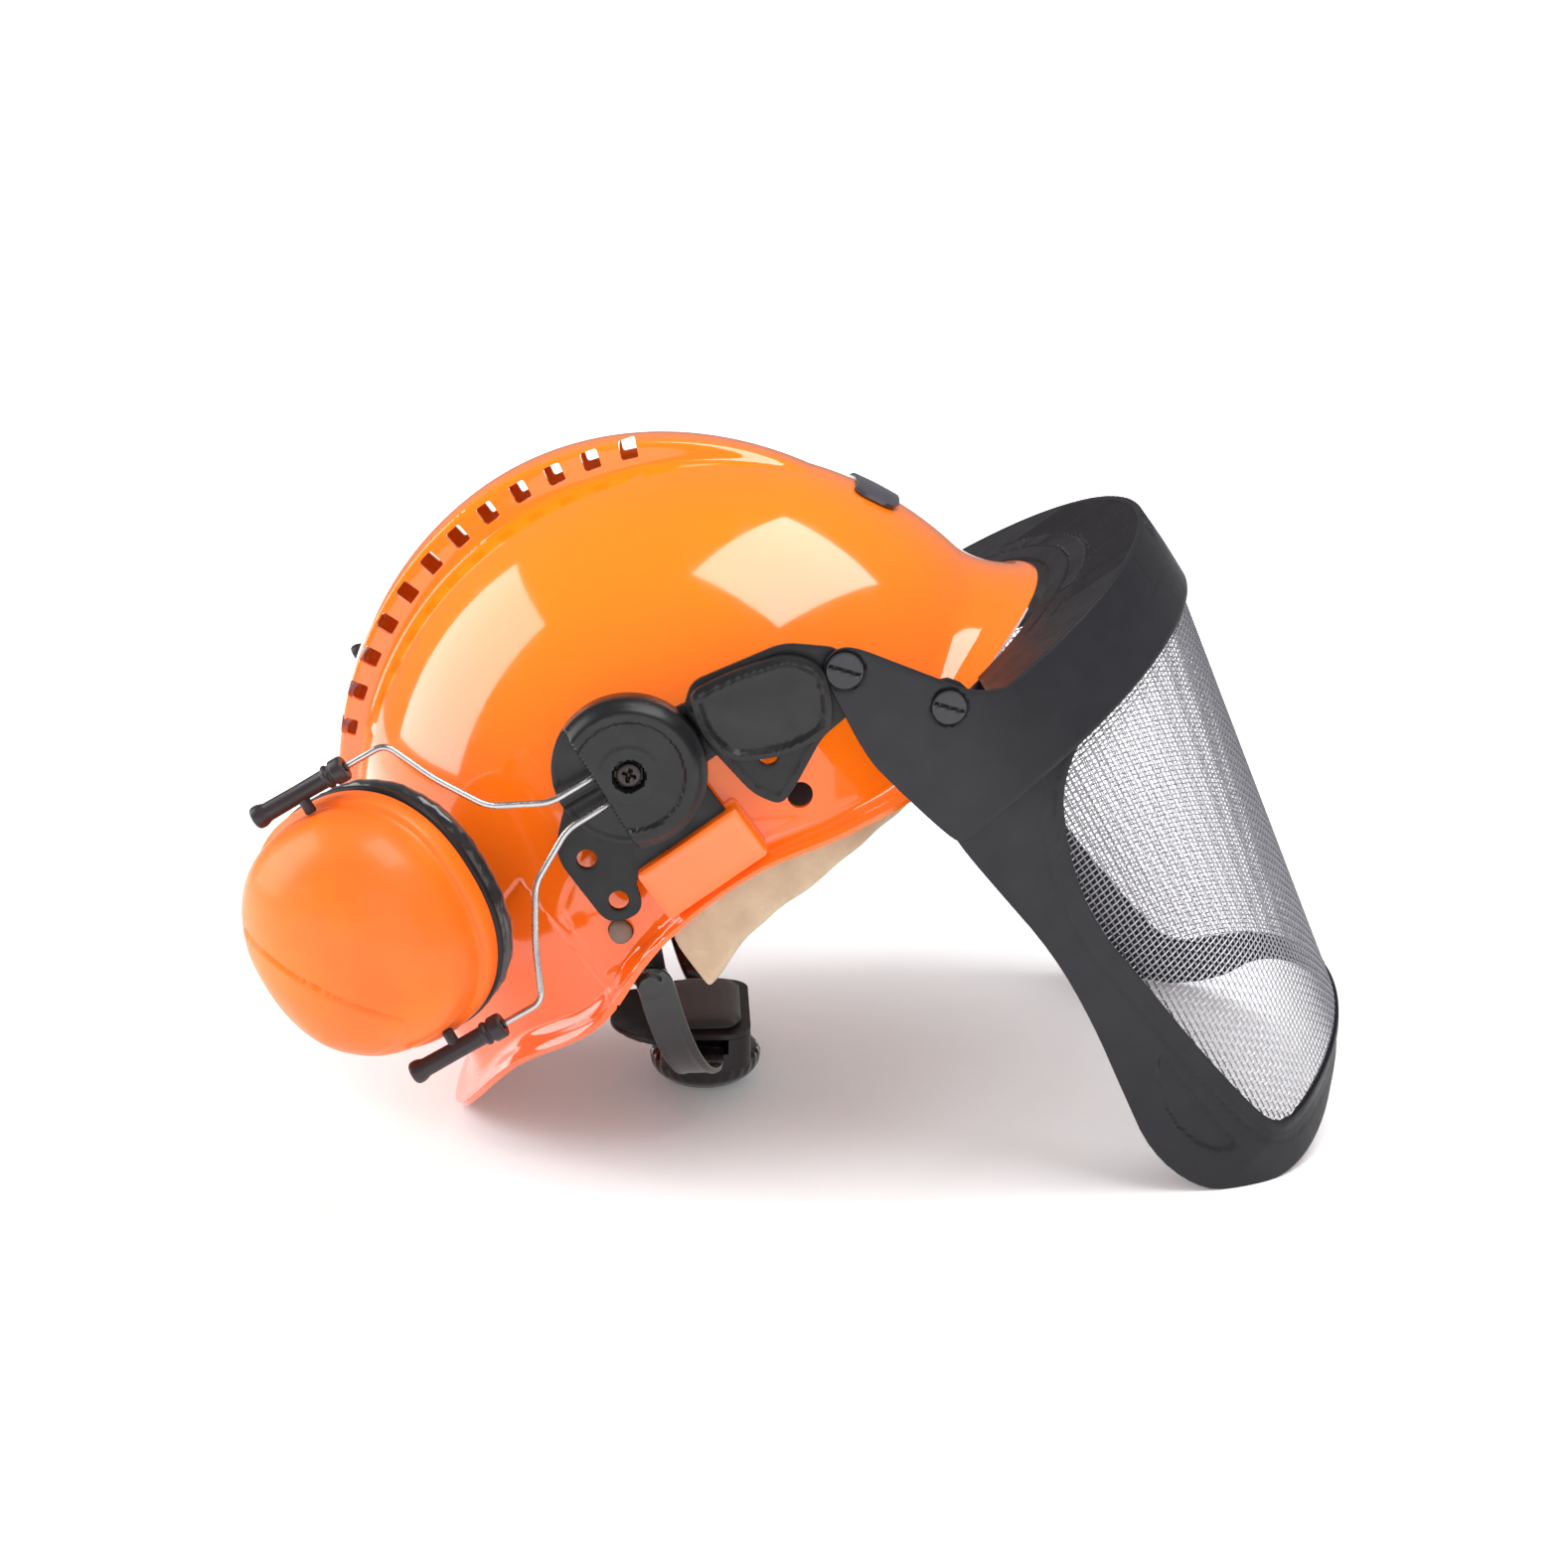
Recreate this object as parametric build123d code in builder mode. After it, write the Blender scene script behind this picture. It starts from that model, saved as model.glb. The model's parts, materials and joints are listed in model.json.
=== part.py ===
"""Forestry helmet: a vented safety shell with its harness, two folding ear muffs and a mesh visor.

Every piece is drawn in the wearer's frame, in millimetres: x to the wearer's left, y backwards, z up,
with the origin at the middle of the rim. When it is written, each piece is leaned back into the
attitude in which the helmet rests on a table, on its visor tips, ratchet knob and nape rim. The
row's origin is then on the table, under the middle of the helmet.
"""
from build123d import *
import os
from math import cos, hypot, radians, sin

os.makedirs("parts", exist_ok=True)

# ------------------------------------------------------------------ resting attitude
LEAN = 35  # degrees the front is raised when the helmet rests on a table
GROUND = 117.615  # from the middle of the rim down to the table
ORIGIN_SHIFT = 42.75  # puts the row's origin under the middle of its box
LAY_BACK = Pos(0, ORIGIN_SHIFT, GROUND) * Rot(-LEAN, 0, 0)

# ------------------------------------------------------------------ shell
WALL = 2.5
DOME = (104.0, 138.0, 139.0)  # half width, half length and height of the dome outside
SKIRT_FOOT = -48  # the skirt is drawn down to here, then trimmed to the rim line
SKIRT_FLARE = 1.5
RIM = (110.0, 154.0)  # half width and half length of the rim's outline
RIM_CENTRE_Y = -1.5
LIP = 3.0  # height of the rim flange
# the rim's lower edge from the side, from the peak to the nape: y, z
RIM_LINE = (
    (-160, 6), (-113, 0), (-84, -13), (-52, -9), (-15, 0),
    (35, -4.5), (65, -16.5), (108, -18), (156, -37),
)
PEAK_FOOT = 4  # the peak's cone runs from here
PEAK_TOP = 30  # to here, where it meets the dome
PEAK_BACK = -75
RIDGE_TOP = 152.4
RIDGE_FRONT = 131.0
RIDGE_BACK = 142.5
RIDGE_HALF_WIDTH = 14.0
VENT = 7.0
VENT_COUNT = 12
VENT_LIFT = 3.5  # height of the vents' middle above the dome
VENT_FIRST, VENT_STEP = -22.8, 5.75  # degrees from the crown
POCKET_FRONT, POCKET_BACK = 24.0, -18.0  # accessory pocket, measured forwards
POCKET_TOP, POCKET_FOOT = 24.5, 6.0
POCKET_OUTSIDE = 116.0
SLOT_IN, SLOT_OUT = 107.7, 111.7
CHIN_HOLE = (42.3, 10.4)  # forwards, up
PLUG_HOLE = (-37.8, 6.5)
RIM_HOLE_RADIUS = 4.5

# ------------------------------------------------------------------ side plates, all lying flat on the side
PLATE_IN, PLATE = 108.2, 3.0
DISC_CENTRE = (2.5, 56.0)  # forwards, up
DISC_RADIUS = 26.5
AXLE_RADIUS = 4.0
RUNNING = 0.05  # radial clearance of a turning fit
SCREW_RADIUS = 2.0
ACCESSORY_HOLES = ((-29.0, 37.8), (-29.0, 19.2))
ACCESSORY_RADIUS = 3.5
CARRIER_IN = 111.5
PIVOT = (81.8, 42.7)
ARM_IN, ARM_OUT = 115.0, 118.0
BOSS_RADIUS = 7.3
VISOR_SCREW = (103.1, 11.2)

# ------------------------------------------------------------------ ear muffs, in the frame of the disc
ARM_PITCH = 5  # degrees the parked arm points above straight back
ARM_ROLL = 8  # degrees the parked cup's lower side stands out
CHORD = -11.0  # the disc's raised half ends here
HINGE_X, HINGE_Z = -9.0, 120.0  # where the arm tilts
WIRE_RADIUS = 1.2
SLEEVE_HALF_GAP = 51.0
SLEEVE_HALF_LENGTH = 18.0
SLEEVE_RADIUS = 3.3
CUP_X, CUP_Z = -98.0, 127.0  # where the cup's swivel axis crosses the arm
# bends of a wire: along the arm from the disc's middle, and out from the arm's middle line
WIRE_ROOT = (-10.1, 5.3)
WIRE_BENDS = (
    WIRE_ROOT, (-26.5, 5.4), (-46.5, 17), (-59.5, 36), (-63, SLEEVE_HALF_GAP), (-106, SLEEVE_HALF_GAP),
)
CUP = (41.5, 46.0, 29.0)  # half width, half height and crown of an ear cup
CUP_RIM = -13.0
CUP_SET_BACK = 8.0  # how far the cup's middle lies behind its swivel pins
CUP_SWIVEL = 20  # degrees the parked cup is turned to face the shell
CUP_PIN_RADIUS = 2.0
CUSHION_HOLE = (20.0, 27.0)
CUSHION_THICK = 11.6

# ------------------------------------------------------------------ visor
ARCH = (118.0, 120.5)  # half width and reach of the bracket's arch
ARCH_SIDE, ARCH_FRONT = 3.0, 2.2  # its thickness at the sides and at the front
ARCH_CENTRE_Y = -80.0
FASCIA_TOP, FASCIA_FOOT = 4.0, -28.0
PLATE_REAR = 114.0  # the bracket's top plate starts this far forwards
# sections of the visor from the top down: half width, reach, centre y and height
FRAME_SECTIONS = (
    (114.6, 119.8, -78.0, -8.0), (114.6, 119.8, -78.0, -30.0),
    (109.0, 91.0, -71.0, -200.0), (106.0, 79.0, -70.0, -222.0),
)
FRAME_RISE = 30.0  # the top section runs straight up this far, to hold the ears
FRAME_THICK = 2.8
MESH_INSET, MESH_THICK = 0.6, 0.8
# the visor's outline from the side: forwards, up
FRAME_OUTLINE = (
    (79, -8), (78.5, -32), (80, -52), (83, -86), (80, -117), (74, -147), (69, -170),
    (73, -193), (87, -204.5), (100, -213.5), (114, -218.5), (128, -217), (140, -211), (156, -207), (220, -206),
    (220, -8), (112, -8), (112, 20), (94, 20), (94, -8),
)
MESH_OUTLINE = (
    (141, -25), (120, -36), (110.5, -52), (104, -70), (101, -90), (103, -112), (105, -147),
    (108.5, -180), (111.5, -194), (118, -200.5), (138, -201), (220, -200), (220, -25),
)

# ------------------------------------------------------------------ harness
BAND = (84.0, 104.0)  # half width and half length of the headband outside
BAND_CENTRE_Y = -4.0
BAND_THICK = 2.0
BAND_FOOT, BAND_TOP = -12.0, 12.0
STRAP_WIDTH, STRAP_THICK = 18.0, 1.5
STRAP_RADIUS, STRAP_HEIGHT = 95.0, 105.0
CLIP_ANGLE = 40  # degrees from the front and from the back
NAPE_PIVOT = (46.0, -22.0)  # y, z
NAPE_FOLD = 90 - LEAN  # degrees the nape strap is folded under, so that the knob lies flat
NAPE_Z = -42.3  # height of the ratchet in use
STRAP_X = 79.6  # inside of the nape strap's ends, clear of the headband by the straps' travel
NAPE_STUD = 11.0  # length of the studs on the strap ends
NAPE_THICK = 2.0
RACK_Y = 94.0
KNOB_RADIUS = 22.5
# the knob's crown touches the table, so its reach behind the folded strap's studs is their height
STUD_HEIGHT = GROUND - NAPE_PIVOT[0] * sin(radians(LEAN)) + NAPE_PIVOT[1] * cos(radians(LEAN))
KNOB_FACE = NAPE_PIVOT[0] + STUD_HEIGHT
KNOB_BACK = KNOB_FACE - 15.7
KNOB_FLAT = 4.0  # radius of the flat spot on the domed knob
HOUSING = (60.0, 36.0)  # width and height
HOUSING_FRONT, HOUSING_BACK = 90.0, 103.0
PINION_RADIUS = 4.4
PINION_FRONT, PINION_BACK = 91.5, 97.5

# the wearer's right side seen from outside: x forwards, y up, z out from the middle of the head
SIDE = Plane(origin=(0, 0, 0), x_dir=(0, -1, 0), z_dir=(-1, 0, 0))
DISC_SEAT = SIDE.location * Pos(*DISC_CENTRE, 0) * Rot(0, 0, -ARM_PITCH)
YOKE_SEAT = DISC_SEAT * Pos(CUP_X, 0, CUP_Z) * Rot(-ARM_ROLL, 0, 0)
CUP_SEAT = YOKE_SEAT * Rot(0, -CUP_SWIVEL, 0) * Pos(-CUP_SET_BACK, 0, 0)


def write(builder, name):
    """Lean a finished piece back, label it and write it."""
    builder.part.move(LAY_BACK)
    builder.part.label = name
    export_step(builder.part, f"parts/{name}.step")


def write_pair(builder, name, seat=Location()):
    """Put a right-hand piece on its seat, and write it and its mirror image."""
    builder.part.move(seat)
    with BuildPart() as other:
        mirror(builder.part, about=Plane.YZ)
    write(builder, f"{name}_right")
    write(other, f"{name}_left")


def egg(half_width, half_length, height, foot, flare=0.0):
    """Half an ellipsoid standing on an upright or slightly flared skirt."""
    with BuildPart() as form:
        with BuildSketch(Plane.XZ):
            with BuildLine():
                EllipticalCenterArc((0, 0), half_width, height, 0, arc_size=90)
                Polyline((0, height), (0, foot), (half_width + flare, foot), (half_width, 0))
            make_face()
        revolve(axis=Axis.Z)
        scale(by=(1, half_length / half_width, 1))
    return form.part


def oval_plate(size, hole, foot, thick):
    """An oval plate, or an oval ring when a hole is given."""
    with BuildPart() as plate:
        with BuildSketch(Plane.XY.offset(foot)):
            Ellipse(*size)
            if hole:
                Ellipse(*hole, mode=Mode.SUBTRACT)
        extrude(amount=thick)
    return plate.part


def side_slab(points, low=-130.0, high=130.0):
    """A slab through the whole helmet with an outline given as forwards, up."""
    with BuildPart() as slab:
        with BuildSketch(SIDE.offset(low)):
            Polygon(*points, align=None)
        extrude(amount=high - low)
    return slab.part


def ridge_form(inset, half_width, foot):
    """The crown ridge, or with an inset the channel inside it."""
    with BuildPart() as form:
        with BuildSketch(Plane.YZ):
            with BuildLine():
                EllipticalCenterArc((0, 0), RIDGE_BACK - inset, RIDGE_TOP - inset, 0, arc_size=90)
                EllipticalCenterArc((0, 0), RIDGE_FRONT - inset, RIDGE_TOP - inset, 90, arc_size=90)
                Line((-RIDGE_FRONT + inset, 0), (RIDGE_BACK - inset, 0))
            make_face()
            with Locations((0, foot)):
                Rectangle(400, 100, align=(Align.CENTER, Align.MAX), mode=Mode.SUBTRACT)
        extrude(amount=half_width, both=True)
    return form.part


def peak_form(inset, foot):
    """The cone of the peak, between the rim's outline and the dome."""
    share = (1 - (PEAK_TOP / DOME[2]) ** 2) ** 0.5
    with BuildPart() as form:
        with BuildSketch(Plane.XY.offset(foot)):
            with Locations((0, RIM_CENTRE_Y)):
                Ellipse(RIM[0] - inset, RIM[1] - inset)
        with BuildSketch(Plane.XY.offset(PEAK_TOP - inset)):
            Ellipse(DOME[0] * share - inset, DOME[1] * share - inset)
        loft()
        split(bisect_by=Plane.XZ.offset(-PEAK_BACK), keep=Keep.TOP)
    return form.part


# ================================================================== the shell and what is fixed to it
outer_dome = egg(*DOME, SKIRT_FOOT, SKIRT_FLARE)
inner_dome = egg(*(size - WALL for size in DOME), SKIRT_FOOT, SKIRT_FLARE)

with BuildPart() as rim_flange:
    with BuildSketch(Plane.XY.offset(SKIRT_FOOT)):
        with Locations((0, RIM_CENTRE_Y)):
            Ellipse(*RIM)
    extrude(amount=80)
    with BuildSketch(Plane.YZ):
        with BuildLine():
            Spline(*RIM_LINE)
            Spline(*((y, z + LIP) for y, z in RIM_LINE))
            for y, z in (RIM_LINE[0], RIM_LINE[-1]):
                Line((y, z), (y, z + LIP))
        make_face()
    extrude(amount=130, both=True, mode=Mode.INTERSECT)

with BuildPart() as below_rim:
    with BuildSketch(Plane.YZ):
        with BuildLine():
            Spline(*RIM_LINE)
            Polyline(RIM_LINE[-1], (RIM_LINE[-1][0], -70), (RIM_LINE[0][0], -70), RIM_LINE[0])
        make_face()
    extrude(amount=130, both=True)

# where each harness clip stands on the headband: point, outward direction, and reach to the shell
CLIPS = []
for side in (-1, 1):
    for front, reach in ((-1, 20.3), (1, 24.3)):
        turn = radians(CLIP_ANGLE)
        radius = 1 / hypot(sin(turn) / BAND[0], cos(turn) / BAND[1])
        px, py = radius * sin(turn), radius * cos(turn)
        out = Vector(side * px / BAND[0] ** 2, front * py / BAND[1] ** 2, 0).normalized()
        CLIPS.append(((side * px, BAND_CENTRE_Y + front * py, 0), out, reach))


def clip_plane(clip):
    """Upright plane through a clip: x outwards from the headband, y up."""
    point, out, _ = clip
    return Plane(origin=point, x_dir=out, z_dir=out.cross(Vector(0, 0, 1)))


with BuildPart() as clip_sockets:
    for clip in CLIPS:
        with BuildSketch(clip_plane(clip)):
            Polygon((11.4, 15), (clip[2] + 4, 15), (clip[2] + 4, 29), (11.4, 29), align=None)
            Polygon((13.2, 10), (16.6, 10), (16.6, 27), (13.2, 27), align=None, mode=Mode.SUBTRACT)
        extrude(amount=11, both=True)
    add(egg(*(size - 1 for size in DOME), SKIRT_FOOT), mode=Mode.INTERSECT)

with BuildPart() as shell:
    add(outer_dome)
    add(ridge_form(0, RIDGE_HALF_WIDTH, 0))
    add(peak_form(0, PEAK_FOOT))
    add(rim_flange.part)
    with BuildSketch(Plane.XY.offset(POCKET_FOOT - 12)):
        with Locations((POCKET_OUTSIDE - 11, -(POCKET_FRONT + POCKET_BACK) / 2),
                       (-POCKET_OUTSIDE + 11, -(POCKET_FRONT + POCKET_BACK) / 2)):
            Rectangle(22, POCKET_FRONT - POCKET_BACK)
    extrude(amount=POCKET_TOP - POCKET_FOOT + 12)
    add(inner_dome, mode=Mode.SUBTRACT)
    add(peak_form(WALL, PEAK_FOOT - 8), mode=Mode.SUBTRACT)
    add(ridge_form(WALL, RIDGE_HALF_WIDTH - WALL, 6), mode=Mode.SUBTRACT)
    add(below_rim.part, mode=Mode.SUBTRACT)
    add(clip_sockets.part)
    with BuildSketch(Plane.XY.offset(POCKET_FOOT + 2)):
        for side in (-1, 1):
            with Locations((side * (SLOT_IN + SLOT_OUT) / 2, -(POCKET_FRONT + POCKET_BACK) / 2)):
                Rectangle(SLOT_OUT - SLOT_IN, POCKET_FRONT - POCKET_BACK - 4)
    extrude(amount=40, mode=Mode.SUBTRACT)
    with BuildSketch(Plane.YZ):
        for index in range(VENT_COUNT):
            turn = VENT_FIRST + index * VENT_STEP
            y = (DOME[1] + VENT_LIFT) * sin(radians(turn))
            z = (DOME[2] + VENT_LIFT) * cos(radians(turn))
            with Locations(Location((y, z), -turn)):
                Rectangle(VENT, VENT)
    extrude(amount=RIDGE_HALF_WIDTH + 2, both=True, mode=Mode.SUBTRACT)
    with BuildSketch(SIDE):
        with Locations(CHIN_HOLE, PLUG_HOLE):
            Circle(RIM_HOLE_RADIUS)
    extrude(amount=130, both=True, mode=Mode.SUBTRACT)
write(shell, "shell")

with BuildPart() as front_badge:
    with BuildSketch(Plane.XZ.offset(60)):
        with Locations((0, 66)):
            RectangleRounded(40, 15, 5)
    extrude(amount=90)
    add(egg(*(size + 2.2 for size in DOME), -5), mode=Mode.INTERSECT)
    add(egg(*(size + 0.8 for size in DOME), -5), mode=Mode.SUBTRACT)
write(front_badge, "front_badge")

with BuildPart() as rim_plug:
    with BuildSketch(SIDE.offset(92)):
        with Locations(PLUG_HOLE):
            Circle(RIM_HOLE_RADIUS - 0.2)
    extrude(amount=10)
write_pair(rim_plug, "rim_plug")

# ================================================================== side plates
with BuildPart() as adapter_plate:
    with BuildSketch(SIDE.offset(PLATE_IN)):
        with Locations(DISC_CENTRE):
            Circle(DISC_RADIUS - 1.5)
        Polygon((-14, 10), (20, 10), (20, 56), (-14, 56), align=None)
        Polygon((2, 41), (60, 41), (60, 58), (2, 62), align=None)
        Polygon((-10, 30), (-36.5, 15), (-36.5, 42), (-22, 52), align=None)
        with Locations(*ACCESSORY_HOLES):
            Circle(7.8)
    extrude(amount=PLATE)
    with BuildSketch(SIDE.offset(PLATE_IN)):
        with Locations(DISC_CENTRE):
            Circle(AXLE_RADIUS)
    extrude(amount=119 - PLATE_IN)
    with BuildSketch(SIDE.offset(PLATE_IN - 1)):
        with Locations(*ACCESSORY_HOLES):
            Circle(ACCESSORY_RADIUS)
        with Locations(DISC_CENTRE):
            Circle(SCREW_RADIUS + RUNNING)
    extrude(amount=20, mode=Mode.SUBTRACT)
write_pair(adapter_plate, "adapter_plate")

with BuildPart() as visor_carrier:
    with BuildSketch(SIDE.offset(CARRIER_IN)):
        Polygon((30, 46), (31.5, 23), (35, 16), (40, 16), (63, 27), (76, 28),
                (84, 36), (84, 49.5), (70, 60.5), (37, 68), (30, 62), align=None)
        with Locations(PIVOT):
            Circle(BOSS_RADIUS)
    extrude(amount=PLATE)
    with BuildSketch(SIDE.offset(CARRIER_IN)):
        with Locations(PIVOT):
            Circle(AXLE_RADIUS)
    extrude(amount=ARM_OUT + 0.2 - CARRIER_IN)
    with BuildSketch(SIDE.offset(CARRIER_IN - 1)):
        with Locations(PIVOT):
            Circle(SCREW_RADIUS + RUNNING)
        with Locations((43.5, 31.5)):
            Circle(3.4)
    extrude(amount=12, mode=Mode.SUBTRACT)
write_pair(visor_carrier, "visor_carrier")

with BuildPart() as carrier_cap:
    with BuildSketch(SIDE.offset(CARRIER_IN + PLATE + 0.3)) as cap_outline:
        Polygon((35.9, 65.8), (69.5, 57.2), (76.2, 49.4), (66.5, 29.2), (51, 27.5), (29.4, 40.7), align=None)
        fillet(cap_outline.vertices(), 4)
    extrude(amount=5)
    with BuildSketch(faces().sort_by(Axis.X)[0]):
        offset(cap_outline.sketch.face(), amount=-2.5, kind=Kind.ARC)
    extrude(amount=-0.8, mode=Mode.SUBTRACT)
write_pair(carrier_cap, "carrier_cap")


def slotted_screw(seat, under_head, tip, head_radius):
    """A slotted screw on the side: the head stands out from under_head, the shank runs in to tip."""
    with BuildPart() as screw:
        with BuildSketch(SIDE.offset(under_head)):
            with Locations(seat):
                Circle(head_radius)
        extrude(amount=2)
        with BuildSketch(SIDE.offset(tip)):
            with Locations(seat):
                Circle(SCREW_RADIUS)
        extrude(amount=under_head - tip)
        with BuildSketch(SIDE.offset(under_head + 1)):
            with Locations(seat):
                Rectangle(1.6, 2 * head_radius - 2)
        extrude(amount=2, mode=Mode.SUBTRACT)
    return screw


write_pair(slotted_screw(PIVOT, ARM_OUT + 0.3, 109, BOSS_RADIUS - 0.6), "pivot_screw")
write_pair(slotted_screw(VISOR_SCREW, 115.7, 109.5, 7.0), "visor_screw")

with BuildPart() as disc_screw:
    with BuildSketch(SIDE.offset(119.1)):
        with Locations(DISC_CENTRE):
            Circle(5.2)
    extrude(amount=2.6)
    with BuildSketch(SIDE.offset(107)):
        with Locations(DISC_CENTRE):
            Circle(SCREW_RADIUS)
    extrude(amount=12.1)
    with BuildSketch(SIDE.offset(120.2)):
        with Locations(DISC_CENTRE):
            Rectangle(5, 1)
            Rectangle(1, 5)
    extrude(amount=2, mode=Mode.SUBTRACT)
write_pair(disc_screw, "disc_screw")

# ================================================================== ear muffs, drawn in the disc's frame
with BuildPart() as arm_disc:
    with BuildSketch(Plane.XY.offset(CARRIER_IN)):
        Circle(DISC_RADIUS)
    extrude(amount=PLATE)
    with BuildSketch(Plane.XY.offset(CARRIER_IN)):
        Circle(DISC_RADIUS)
        with Locations((CHORD, 0)):
            Rectangle(60, 60, align=(Align.MAX, Align.CENTER), mode=Mode.SUBTRACT)
    extrude(amount=124.5 - CARRIER_IN)
    with BuildSketch(Plane.XY.offset(CARRIER_IN - 1)):
        Circle(AXLE_RADIUS + RUNNING)
    extrude(amount=20, mode=Mode.SUBTRACT)
    with BuildSketch(Plane.XY.offset(119)):
        Circle(5.6)
    extrude(amount=10, mode=Mode.SUBTRACT)
    with BuildSketch(Plane.XZ):
        with Locations((HINGE_X - 2.2, HINGE_Z)):
            Rectangle(4.4, 4.2, align=(Align.MIN, Align.CENTER))
    extrude(amount=10.5, both=True, mode=Mode.SUBTRACT)
    with BuildSketch(Plane.XZ):
        with Locations((HINGE_X, HINGE_Z)):
            Circle(WIRE_RADIUS + RUNNING)
    extrude(amount=13.2, both=True, mode=Mode.SUBTRACT)
write_pair(arm_disc, "arm_disc", DISC_SEAT)

with BuildPart() as arm_hinge:
    with BuildSketch(Plane.XZ):
        with Locations((HINGE_X, HINGE_Z)):
            Circle(1.95)
    extrude(amount=10.3, both=True)
    with BuildSketch(Plane.XZ):
        with Locations((HINGE_X, HINGE_Z)):
            Circle(WIRE_RADIUS)
    extrude(amount=13, both=True)
    with BuildSketch(Plane.YZ.offset(HINGE_X - 0.3)):
        with Locations((WIRE_ROOT[1], HINGE_Z), (-WIRE_ROOT[1], HINGE_Z)):
            Circle(WIRE_RADIUS + 0.3)
    extrude(amount=-3, mode=Mode.SUBTRACT)
write_pair(arm_hinge, "arm_hinge", DISC_SEAT)


def wire_path(side):
    """Bends of the upper (side 1) or lower (side -1) wire; the roll of the cup grows along the arm."""
    bends = []
    for x, gap in WIRE_BENDS:
        along = min(1, (x - HINGE_X) / (WIRE_BENDS[-2][0] - HINGE_X))
        roll = radians(ARM_ROLL) * max(0, along)
        rise = (CUP_Z - HINGE_Z) * max(0, along)
        bends.append((x, side * gap * cos(roll), HINGE_Z + rise - side * gap * sin(roll)))
    return bends


with BuildPart() as arm_wires:
    for side in (-1, 1):
        with BuildLine() as wire_line:
            FilletPolyline(*wire_path(side), radius=4)
        with BuildSketch(Plane(wire_line.line @ 0, z_dir=wire_line.line % 0)):
            Circle(WIRE_RADIUS)
        sweep(path=wire_line.line)
write_pair(arm_wires, "arm_wires", DISC_SEAT)

with BuildPart() as wire_sleeves:
    for side in (-1, 1):
        with BuildSketch(Plane.YZ.offset(SLEEVE_HALF_LENGTH)):
            with Locations((side * SLEEVE_HALF_GAP, 0)):
                Circle(SLEEVE_RADIUS)
        extrude(amount=-2 * SLEEVE_HALF_LENGTH)
        for end in (SLEEVE_HALF_LENGTH, 2.5 - SLEEVE_HALF_LENGTH):
            with BuildSketch(Plane.YZ.offset(end)):
                with Locations((side * SLEEVE_HALF_GAP, 0)):
                    Circle(SLEEVE_RADIUS + 0.7)
            extrude(amount=-2.5)
        with BuildSketch(Plane.XZ.offset(-side * (SLEEVE_HALF_GAP - 2))):
            Circle(CUP_PIN_RADIUS)
        extrude(amount=side * (SLEEVE_HALF_GAP - 2 - CUP[1] + WALL))
        with BuildSketch(Plane.YZ.offset(SLEEVE_HALF_LENGTH + 1)):
            with Locations((side * SLEEVE_HALF_GAP, 0)):
                Circle(WIRE_RADIUS + 0.1)
        extrude(amount=-2 * SLEEVE_HALF_LENGTH + 1, mode=Mode.SUBTRACT)
write_pair(wire_sleeves, "wire_sleeves", YOKE_SEAT)

with BuildPart() as ear_cup:
    add(egg(*CUP, CUP_RIM))
    add(egg(*(size - WALL for size in CUP), CUP_RIM), mode=Mode.SUBTRACT)
    with BuildSketch(Plane.XZ):
        with Locations((CUP_SET_BACK, 0)):
            Circle(CUP_PIN_RADIUS + RUNNING)
    extrude(amount=60, both=True, mode=Mode.SUBTRACT)
write_pair(ear_cup, "ear_cup", CUP_SEAT)

with BuildPart() as cup_back:
    add(oval_plate((CUP[0] + 0.5, CUP[1] + 0.5), CUSHION_HOLE, CUP_RIM - 3.2, 3))
write_pair(cup_back, "cup_back", CUP_SEAT)

with BuildPart() as ear_cushion:
    cushion_foot = CUP_RIM - 3.4 - CUSHION_THICK
    add(oval_plate((CUP[0] - 0.5, CUP[1] - 0.5), CUSHION_HOLE, cushion_foot, CUSHION_THICK))
write_pair(ear_cushion, "ear_cushion", CUP_SEAT)

with BuildPart() as cup_foam:
    add(oval_plate((CUP[0] - 5, CUP[1] - 6), None, CUP_RIM, 18))
write_pair(cup_foam, "cup_foam", CUP_SEAT)


# ================================================================== visor
def arch(half_width, reach, centre_y, foot, height):
    """A U-shaped block, open to the back, in plan half an oval with straight legs."""
    with BuildSketch(Plane.XY.offset(foot)) as outline:
        with BuildLine():
            EllipticalCenterArc((0, centre_y), half_width, reach, 180, arc_size=180)
            Polyline((half_width, centre_y), (half_width, centre_y + 25),
                     (-half_width, centre_y + 25), (-half_width, centre_y))
        make_face()
    with BuildPart() as block:
        add(outline.sketch)
        extrude(amount=height)
    return block.part


def visor_wall(inset):
    """The solid whose curved front is a surface of the visor, inset from its outside."""
    sections = []
    for half_width, reach, centre_y, height in FRAME_SECTIONS:
        with BuildSketch(Plane.XY.offset(height)) as section:
            with BuildLine():
                EllipticalCenterArc((0, centre_y), half_width - inset, reach - inset, 180, arc_size=180)
                Polyline((half_width - inset, centre_y), (half_width - inset, centre_y + 25),
                         (inset - half_width, centre_y + 25), (inset - half_width, centre_y))
            make_face()
        sections.append(section.sketch.face())
    with BuildPart() as wall:
        loft(sections, ruled=True)
        half_width, reach, centre_y, height = FRAME_SECTIONS[0]
        add(arch(half_width - inset, reach - inset, centre_y, height, FRAME_RISE))
    return wall.part


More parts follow.
